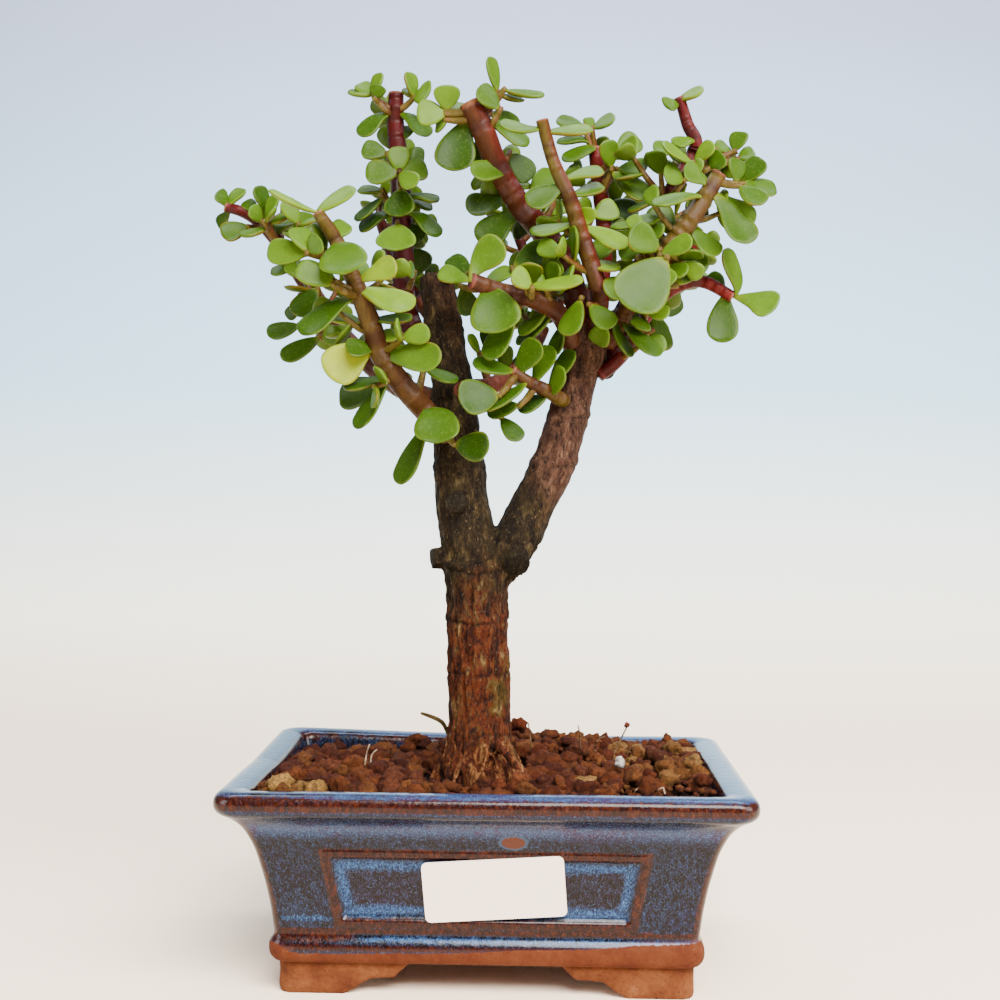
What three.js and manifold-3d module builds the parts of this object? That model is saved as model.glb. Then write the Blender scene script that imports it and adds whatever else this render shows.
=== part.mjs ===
// Potted dwarf jade bonsai, in millimetres, +Z up, +X to the right and +Y to the back.
// The origin is the middle of the pot's footprint, on the surface that the pot stands on.
// The pot is one fired shell on four feet. It holds the soil, and the trunk stands in the soil.
// Each leafy branch is one solid: its stem, its twigs and its leaves, grown together.

import * as THREE from "three";
import { mergeVertices } from "three/addons/utils/BufferGeometryUtils.js";
import Module from "manifold-3d";

const wasm = await Module();
wasm.setup();
const { Manifold, Mesh } = wasm;

// Driving dimensions of the pot
const RIM_LENGTH = 180;
const RIM_DEPTH = 130;
const POT_HEIGHT = 71;
const RIM_WIDTH = 11;
const FOOT_HEIGHT = 11;
const FLOOR_TOP = 18;
const BAND_TOP = 20;
const BODY_INSET = 17.5;
const FOOT_INSET = 19.5;
const FOOT_WALL = 13;
const WALL = 8;
const CORNER_POINTS = 4;
const DRAIN_RADIUS = 7;
const DRAIN_OFFSET = 38;

// Relief panels: a raised frame round a sunk field, on each of the four walls
const PANEL_TOP = 50.5;
const PANEL_BOTTOM = 23.5;
const PANEL_TAPER = 5;
const PANEL_MARGIN = 23;
const FRAME_WIDTH = 3;
const FRAME_RISE = 0.9;
const FIELD_DEPTH = 0.9;

// Gap between pieces that touch, and how deep a joined piece is sunk
const SEAT_GAP = 0.32;
const TRUNK_GAP = 0.38;
const SINK = 4;

// Number of sides of round pieces
const TRUNK_SIDES = 10;
const STUB_SIDES = 7;
const ROOT_SIDES = 6;
const STEM_SIDES = 5;
const TWIG_SIDES = 3;
const DRAIN_SIDES = 16;

// Soil
const GRANULE = 8.8;
const GRANULE_RISE = 3.0;
const SOIL_STEP = 4.7;
const SOIL_LEVEL = 67.5;
const MOUND_HEIGHT = 7.5;
const SOIL_LEAN = [0.022, 0.012];

// Leaves and twigs
const LEAF_THICKNESS = 2;
const LEAF_BREADTH = 0.74;
const LEAF_ARCH = 0.03;
const LEAF_CUP = 0.096;
const LEAF_ROOT = 1.2;
const SMALL_LEAF = 9.8;
const STALK = 3.5;
const TWIG_RADIUS = 1.2;
const CLEARANCE = 0.55;
const LAYOUT_SEED = 20;
const SLIVER = 0.03;

// Label
const LABEL_WIDTH = 47.5;
const LABEL_HEIGHT = 21.6;
const LABEL_THICKNESS = 0.4;
const LABEL_CORNER = 2;
const LABEL_SHIFT = 3;
const LABEL_DROP = 1;
const LABEL_TILT = 0;
const LABEL_TURN = 0.07;

const tree = new THREE.Group();

function finish(color, roughness) {
  return new THREE.MeshStandardMaterial({ color, roughness, metalness: 0 });
}
const GLAZE = finish(0x4a5a8c, 0.3);
const PLASTIC = finish(0x202224, 0.6);
const CLAY_GRANULES = finish(0x7a3f22, 0.95);
const BARK = finish(0x5a4030, 0.85);
const LEAF_GREEN = finish(0x6f9a3c, 0.4);
const PAPER = finish(0xf0ebe6, 0.7);

// Solids from closed triangle meshes, and back

function solidOf(geometry) {
  const bare = geometry.index ? geometry.toNonIndexed() : geometry.clone();
  bare.deleteAttribute("normal");
  bare.deleteAttribute("uv");
  const merged = mergeVertices(bare, 1e-5);
  const vertProperties = new Float32Array(merged.attributes.position.array);
  const triVerts = new Uint32Array(merged.index.array);
  return new Manifold(new Mesh({ numProp: 3, vertProperties, triVerts }));
}

function solidFrom(points, faces) {
  const vertProperties = new Float32Array(points.flat());
  const triVerts = new Uint32Array(faces.flat());
  return new Manifold(new Mesh({ numProp: 3, vertProperties, triVerts }));
}

function geometryOf(solid) {
  const mesh = solid.getMesh();
  const geometry = new THREE.BufferGeometry();
  geometry.setAttribute("position", new THREE.BufferAttribute(new Float32Array(mesh.vertProperties), 3));
  geometry.setIndex(new THREE.BufferAttribute(new Uint32Array(mesh.triVerts), 1));
  return geometry;
}

// The largest closed body of a solid; a scrap that a cut leaves loose is dropped
function mainBody(solid) {
  const bodies = solid.simplify(SLIVER).decompose();
  return bodies.reduce((best, body) => (body.volume() > best.volume() ? body : best));
}

function place(name, solid, material, parent = tree) {
  const mesh = new THREE.Mesh(geometryOf(solid), material);
  mesh.name = name;
  parent.add(mesh);
  return mesh;
}

// A closed skin over rings of points, all of one length, with flat ends
function loft(rings) {
  const count = rings[0].length;
  const points = rings.flat();
  const faces = [];
  for (let ring = 0; ring + 1 < rings.length; ring += 1) {
    for (let i = 0; i < count; i += 1) {
      const a = ring * count + i;
      const b = ring * count + ((i + 1) % count);
      faces.push([a, b, b + count], [a, b + count, a + count]);
    }
  }
  const top = (rings.length - 1) * count;
  for (let i = 1; i + 1 < count; i += 1) {
    faces.push([0, i + 1, i], [top, top + i, top + i + 1]);
  }
  return solidFrom(points, faces);
}

// Pot

// A rectangle with round corners, as a ring of points at one height
function roundedRing(halfLength, halfDepth, radius, z) {
  const ring = [];
  const quarter = Math.PI / 2;
  for (let corner = 0; corner < 4; corner += 1) {
    const signX = corner === 0 || corner === 3 ? 1 : -1;
    const signY = corner < 2 ? 1 : -1;
    for (let i = 0; i < CORNER_POINTS; i += 1) {
      const angle = quarter * (corner + i / (CORNER_POINTS - 1));
      ring.push([
        signX * (halfLength - radius) + radius * Math.cos(angle),
        signY * (halfDepth - radius) + radius * Math.sin(angle),
        z,
      ]);
    }
  }
  return ring;
}

// The pot's outline, as [height, inset from the rim's widest line, corner radius]
const BAND_INSET = BODY_INSET - 1.2;
const OUTSIDE = [
  [FOOT_HEIGHT - 0.5, BODY_INSET + 0.8, 5],
  [FOOT_HEIGHT + 2, BAND_INSET, 6],
  [BAND_TOP - 2.5, BAND_INSET - 0.2, 6],
  [BAND_TOP, BODY_INSET, 4],
  [38, 15.3, 4],
  [50, 12.5, 4],
  [56.5, 9.6, 5],
  [61, 5.8, 6],
  [63.5, 2, 7.5],
  [66, 0.3, 8],
  [68.6, 0, 8],
  [70.3, 1.2, 8],
  [POT_HEIGHT, 3.6, 7],
];
const INSIDE = [
  [FLOOR_TOP, BODY_INSET + WALL + 1, 5],
  [38, 15.3 + WALL, 4],
  [60, RIM_WIDTH + 2.4, 4],
  [69.5, RIM_WIDTH + 0.6, 4],
  [POT_HEIGHT + 0.01, RIM_WIDTH - 0.6, 4],
];

function potRings(profile, extra = 0) {
  return profile.map(([z, inset, radius]) =>
    roundedRing(RIM_LENGTH / 2 - inset + extra, RIM_DEPTH / 2 - inset + extra, radius, z));
}

function insetAt(height) {
  const above = OUTSIDE.findIndex(([z]) => z >= height);
  const [z0, inset0] = OUTSIDE[above - 1];
  const [z1, inset1] = OUTSIDE[above];
  return inset0 + ((inset1 - inset0) * (height - z0)) / (z1 - z0);
}

// A wall's plane: a turned group at the middle of the panel, with its own +Z pointing out
function wallPlane(side) {
  const middle = (PANEL_TOP + PANEL_BOTTOM) / 2;
  const lean = Math.atan2(insetAt(PANEL_BOTTOM) - insetAt(PANEL_TOP), PANEL_TOP - PANEL_BOTTOM);
  const reach = (side % 2 === 0 ? RIM_DEPTH : RIM_LENGTH) / 2 - insetAt(middle);
  const upright = new THREE.Matrix4().makeRotationX(Math.PI / 2 + lean);
  const outward = new THREE.Matrix4().makeTranslation(0, -reach, middle);
  const turned = new THREE.Matrix4().makeRotationZ((side * Math.PI) / 2);
  return turned.multiply(outward).multiply(upright);
}

function panelShape(halfTop, halfBottom, height, offset) {
  const half = height / 2 - offset;
  return [
    new THREE.Vector2(-halfBottom + offset, -half),
    new THREE.Vector2(halfBottom - offset, -half),
    new THREE.Vector2(halfTop - offset, half),
    new THREE.Vector2(-halfTop + offset, half),
  ];
}

function extruded(outline, hole, from, to) {
  const shape = new THREE.Shape(outline);
  if (hole) {
    shape.holes.push(new THREE.Path(hole));
  }
  const geometry = new THREE.ExtrudeGeometry(shape, { depth: to - from, bevelEnabled: false });
  return geometry.translate(0, 0, from);
}

function addPanels(body) {
  let carved = body;
  for (let side = 0; side < 4; side += 1) {
    const halfWall = (side % 2 === 0 ? RIM_LENGTH : RIM_DEPTH) / 2;
    const halfTop = halfWall - insetAt(PANEL_TOP) - PANEL_MARGIN + 0.5;
    const halfBottom = halfTop - PANEL_TAPER;
    const height = PANEL_TOP - PANEL_BOTTOM;
    const outer = panelShape(halfTop, halfBottom, height, 0);
    const inner = panelShape(halfTop, halfBottom, height, FRAME_WIDTH);
    const plane = wallPlane(side);
    const frame = extruded(outer, inner, -SINK, FRAME_RISE).applyMatrix4(plane);
    const field = extruded(inner, null, -FIELD_DEPTH, SINK).applyMatrix4(plane);
    carved = carved.subtract(solidOf(field)).add(solidOf(frame));
  }
  return carved;
}

// The open arch between two feet, seen from one side: bracket feet with a small step
function footArch(halfLength) {
  const rise = FOOT_HEIGHT - 0.3;
  const half = [
    [halfLength - 23, -1],
    [halfLength - 23, 0],
    [halfLength - 27, 2.2],
    [halfLength - 31, 5],
    [halfLength - 40, 5.8],
    [halfLength - 44.5, rise],
  ];
  const points = [...half, ...half.map(([x, y]) => [-x, y]).reverse()];
  return points.map(([x, y]) => new THREE.Vector2(x, y));
}

function feet() {
  const halfLength = RIM_LENGTH / 2 - FOOT_INSET;
  const halfDepth = RIM_DEPTH / 2 - FOOT_INSET;
  const block = loft([
    roundedRing(halfLength - 0.8, halfDepth - 0.8, 5, 0),
    roundedRing(halfLength, halfDepth, 5, 1),
    roundedRing(halfLength, halfDepth, 5, FOOT_HEIGHT + 1),
  ]);
  const hollow = loft([
    roundedRing(halfLength - FOOT_WALL, halfDepth - FOOT_WALL, 6, -1),
    roundedRing(halfLength - FOOT_WALL, halfDepth - FOOT_WALL, 6, FOOT_HEIGHT - 0.3),
  ]);
  const upright = new THREE.Matrix4().makeRotationX(Math.PI / 2);
  const sideways = new THREE.Matrix4().makeRotationZ(Math.PI / 2).multiply(upright);
  const frontArch = extruded(footArch(halfLength), null, -RIM_LENGTH, RIM_LENGTH).applyMatrix4(upright);
  const sideArch = extruded(footArch(halfDepth + 11), null, -RIM_LENGTH, RIM_LENGTH).applyMatrix4(sideways);
  return block.subtract(hollow).subtract(solidOf(frontArch)).subtract(solidOf(sideArch));
}

function drainHole(offset) {
  const bore = new THREE.CylinderGeometry(DRAIN_RADIUS, DRAIN_RADIUS, 3 * FLOOR_TOP, DRAIN_SIDES);
  return solidOf(bore.rotateX(Math.PI / 2).translate(offset, 0, FLOOR_TOP));
}

function makePot() {
  const shell = addPanels(loft(potRings(OUTSIDE)));
  const hollowed = shell.add(feet()).subtract(loft(potRings(INSIDE)));
  return hollowed.subtract(drainHole(-DRAIN_OFFSET)).subtract(drainHole(DRAIN_OFFSET));
}

// Plastic mesh over a drain hole
const SCREEN_SIZE = 24;
const SCREEN_THICKNESS = 1;
const SCREEN_CELLS = 2;
const SCREEN_MARGIN = 0.6;
const SCREEN_OPEN_SHARE = 0.7;

function makeScreen() {
  const pitch = SCREEN_SIZE / (SCREEN_CELLS + SCREEN_MARGIN);
  const middle = (SCREEN_CELLS - 1) / 2;
  let plate = solidOf(new THREE.BoxGeometry(SCREEN_SIZE, SCREEN_SIZE, SCREEN_THICKNESS));
  for (let i = 0; i < SCREEN_CELLS * SCREEN_CELLS; i += 1) {
    const opening = pitch * SCREEN_OPEN_SHARE;
    const cell = new THREE.BoxGeometry(opening, opening, 2 * SCREEN_THICKNESS);
    const x = ((i % SCREEN_CELLS) - middle) * pitch;
    const y = (Math.floor(i / SCREEN_CELLS) - middle) * pitch;
    plate = plate.subtract(solidOf(cell.translate(x, y, 0)));
  }
  return plate;
}

// Vectors as plain arrays of three numbers

const add = (a, b) => [a[0] + b[0], a[1] + b[1], a[2] + b[2]];
const sub = (a, b) => [a[0] - b[0], a[1] - b[1], a[2] - b[2]];
const mul = (a, k) => [a[0] * k, a[1] * k, a[2] * k];
const dot = (a, b) => a[0] * b[0] + a[1] * b[1] + a[2] * b[2];
const cross = (a, b) => [a[1] * b[2] - a[2] * b[1], a[2] * b[0] - a[0] * b[2], a[0] * b[1] - a[1] * b[0]];
const length = (a) => Math.sqrt(dot(a, a));
const unit = (a) => mul(a, 1 / length(a));
const mix = (a, b, t) => add(mul(a, 1 - t), mul(b, t));

// A seeded draw of numbers from 0 to 1
class Draw {
  constructor(seed) {
    this.state = seed;
  }

  next() {
    this.state = (this.state * 1664525 + 1013904223) % 4294967296;
    return this.state / 4294967296;
  }
}

// Smooth curve through [x, y, z, radius] points; `at` counts points from 0
function along(points, at) {
  const i = Math.min(Math.floor(at), points.length - 2);
  const t = at - i;
  const before = points[Math.max(i - 1, 0)];
  const from = points[i];
  const to = points[i + 1];
  const after = points[Math.min(i + 2, points.length - 1)];
  return from.map((b, k) => {
    const a = before[k];
    const c = to[k];
    const d = after[k];
    return 0.5 * (2 * b + (c - a) * t + (2 * a - 5 * b + 4 * c - d) * t * t
      + (3 * b - a - 3 * c + d) * t * t * t);
  });
}

// A round stem along a curve, with a flat cut at each end
function stemSolid(points, sides, steps, extra = 0) {
  const last = points.length - 1;
  const count = Math.round(last * steps);
  const spots = Array.from({ length: count + 1 }, (_, i) => along(points, (i * last) / count));
  const rings = [];
  let side = null;
  spots.forEach((spot, i) => {
    const ahead = spots[Math.min(i + 1, count)];
    const behind = spots[Math.max(i - 1, 0)];
    const direction = unit(sub(ahead, behind));
    const guess = side ?? cross(direction, Math.abs(direction[0]) < 0.7 ? [1, 0, 0] : [0, 1, 0]);
    side = unit(sub(guess, mul(direction, dot(guess, direction))));
    const across = cross(direction, side);
    const push = i === 0 ? -extra : i === count ? extra : 0;
    const centre = add(spot, mul(direction, push));
    const radius = spot[3] + extra;
    rings.push(Array.from({ length: sides }, (_, k) => {
      const angle = (2 * Math.PI * k) / sides;
      const out = add(mul(side, Math.cos(angle)), mul(across, Math.sin(angle)));
      return add(centre, mul(out, radius));
    }));
  });
  return loft(rings);
}

// Trunk: each stem is a list of [x, y, z, radius]

const LOWER_TRUNK = [
  [-3, -20, 58, 15],
  [-3, -20, 68, 14.8],
  [-4, -19, 77, 13.2],
  [-4, -18, 86, 11.4],
  [-4, -17, 104, 11.3],
  [-5, -17, 122, 11.2],
  [-5, -16, 136, 11.6],
  [-6, -16, 146, 12],
];
const LEFT_STEM = [
  [-5, -16, 134, 10.5],
  [-7.5, -15, 150, 10.2],
  [-10.6, -14, 164, 9.6],
  [-12, -13, 180, 9.1],
  [-14.2, -11, 203, 7.9],
  [-17.5, -9, 225, 6.9],
  [-21.5, -7, 249, 6.2],
];
const RIGHT_STEM = [
  [-1, -16, 134, 9],
  [6, -15, 149, 8.7],
  [13.6, -12, 164, 8],
  [21.6, -10, 180, 7.8],
  [27.2, -6, 199, 7.4],
  [30.6, -4, 212, 6.8],
  [33, -3, 222, 8.2],
  [33, -3, 232, 7],
];
// Cut stubs: [from, to, radius]
const STUBS = [
  [[-11, -14, 166], [-12, -27, 166.5], 4],
  [[-8, -15, 147], [-21.5, -19, 146.5], 4.2],
  [[8, -15, 152], [10, -26, 147], 5],
  [[33, -3, 228], [31, -8, 236], 4.2],
  [[33, -2, 220], [43, 3, 216], 4.4],
];
// Roots that leave the flare and dip into the soil: [turn in degrees, reach, radius]
const ROOTS = [
  [-95, 17, 2.8],
  [-62, 18, 2.9],
  [-128, 16, 2.7],
  [-20, 17, 3],
  [-165, 16, 2.8],
  [30, 17, 2.8],
  [80, 18, 3],
  [135, 17, 2.8],
];

function rootPath([turn, reach, radius]) {
  const angle = (turn * Math.PI) / 180;
  const foot = LOWER_TRUNK[2];
  const spot = (share, z, r) =>
    [foot[0] + share * reach * Math.cos(angle), foot[1] + share * reach * Math.sin(angle), z, r];
  return [
    spot(0.35, 82, radius),
    spot(0.7, 76, radius),
    spot(0.95, 69, radius * 0.85),
    spot(1.1, 61, radius * 0.6),
  ];
}

function makeTrunk(extra = 0) {
  const parts = [
    stemSolid(LOWER_TRUNK, TRUNK_SIDES, 1, extra),
    stemSolid(LEFT_STEM, TRUNK_SIDES, 1, extra),
    stemSolid(RIGHT_STEM, TRUNK_SIDES, 1, extra),
    ...STUBS.map(([from, to, radius]) =>
      stemSolid([[...from, radius], [...to, radius * 0.9]], STUB_SIDES, 1, extra)),
    ...ROOTS.map((root) => stemSolid(rootPath(root), ROOT_SIDES, 1, extra)),
  ];
  return Manifold.union(parts);
}

// Soil

function soilLevel(x, y) {
  const mound = MOUND_HEIGHT * Math.exp(-(((x - 8) / 36) ** 2 + ((y - 14) / 26) ** 2));
  const lean = SOIL_LEAN[0] * x + SOIL_LEAN[1] * y;
  return SOIL_LEVEL + mound + lean;
}

// Height of the nearest granule over a point: jittered centres on a grid of cells
function granuleRise(x, y) {
  const column = Math.floor(x / GRANULE);
  const row = Math.floor(y / GRANULE);
  let rise = 0;
  for (let i = column - 1; i <= column + 1; i += 1) {
    for (let j = row - 1; j <= row + 1; j += 1) {
      const draw = new Draw((i + 40) * 97 + (j + 40) * 1013);
      draw.next();
      const centreX = (i + 0.25 + 0.5 * draw.next()) * GRANULE;
      const centreY = (j + 0.25 + 0.5 * draw.next()) * GRANULE;
      const size = GRANULE * (0.5 + 0.2 * draw.next());
      const distance = Math.hypot(x - centreX, y - centreY) / size;
      const height = distance < 1 ? Math.sqrt(1 - distance * distance) : 0;
      rise = Math.max(rise, height * (0.7 + 0.5 * draw.next()));
    }
  }
  return GRANULE_RISE * rise;
}

function soilBlock() {
  const halfLength = RIM_LENGTH / 2 - RIM_WIDTH + 2;
  const halfDepth = RIM_DEPTH / 2 - RIM_WIDTH + 2;
  const columns = Math.round((2 * halfLength) / SOIL_STEP);
  const rows = Math.round((2 * halfDepth) / SOIL_STEP);
  const points = [];
  const faces = [];
  for (let j = 0; j <= rows; j += 1) {
    for (let i = 0; i <= columns; i += 1) {
      const x = -halfLength + (2 * halfLength * i) / columns;
      const y = -halfDepth + (2 * halfDepth * j) / rows;
      points.push([x, y, soilLevel(x, y) + granuleRise(x, y)]);
    }
  }
  const wide = columns + 1;
  const edge = [];
  for (let j = 0; j < rows; j += 1) {
    for (let i = 0; i < columns; i += 1) {
      const a = j * wide + i;
      faces.push([a, a + 1, a + wide + 1], [a, a + wide + 1, a + wide]);
    }
  }
  for (let i = 0; i < columns; i += 1) {
    edge.push(i);
  }
  for (let j = 0; j < rows; j += 1) {
    edge.push(j * wide + columns);
  }
  for (let i = columns; i > 0; i -= 1) {
    edge.push(rows * wide + i);
  }
  for (let j = rows; j > 0; j -= 1) {
    edge.push(j * wide);
  }
  const base = points.length;
  edge.forEach((index) => points.push([points[index][0], points[index][1], 0]));
  const centre = points.length;
  points.push([0, 0, 0]);
  edge.forEach((index, k) => {
    const next = (k + 1) % edge.length;
    faces.push([index, base + k, base + next], [index, base + next, edge[next]]);
    faces.push([base + k, centre, base + next]);
  });
  return solidFrom(points, faces);
}

function makeSoil(screens) {
  const cavity = [
    [FLOOR_TOP + SEAT_GAP, BODY_INSET + WALL + 1, 5],
    [38, 15.3 + WALL, 4],
    [60, RIM_WIDTH + 2.4, 4],
    [69.5, RIM_WIDTH + 0.6, 4],
    [90, RIM_WIDTH + 0.6, 4],
  ];
  let soil = soilBlock().intersect(loft(potRings(cavity, -SEAT_GAP)));
  soil = soil.subtract(makeTrunk(TRUNK_GAP));
  for (const screen of screens) {
    const box = new THREE.BoxGeometry(
      SCREEN_SIZE + 2 * SEAT_GAP, SCREEN_SIZE + 2 * SEAT_GAP, 2 * (SCREEN_THICKNESS + SEAT_GAP));
    soil = soil.subtract(solidOf(box.translate(screen, 0, FLOOR_TOP + SEAT_GAP)));
  }
  return mainBody(soil);
}

// Branches: the stem as [x, y, z, radius] points; leaves that the photograph shows, as base,
// tip, width and turn; and shoots, as place on the stem, reach, pairs of leaves, length and turn

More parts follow.
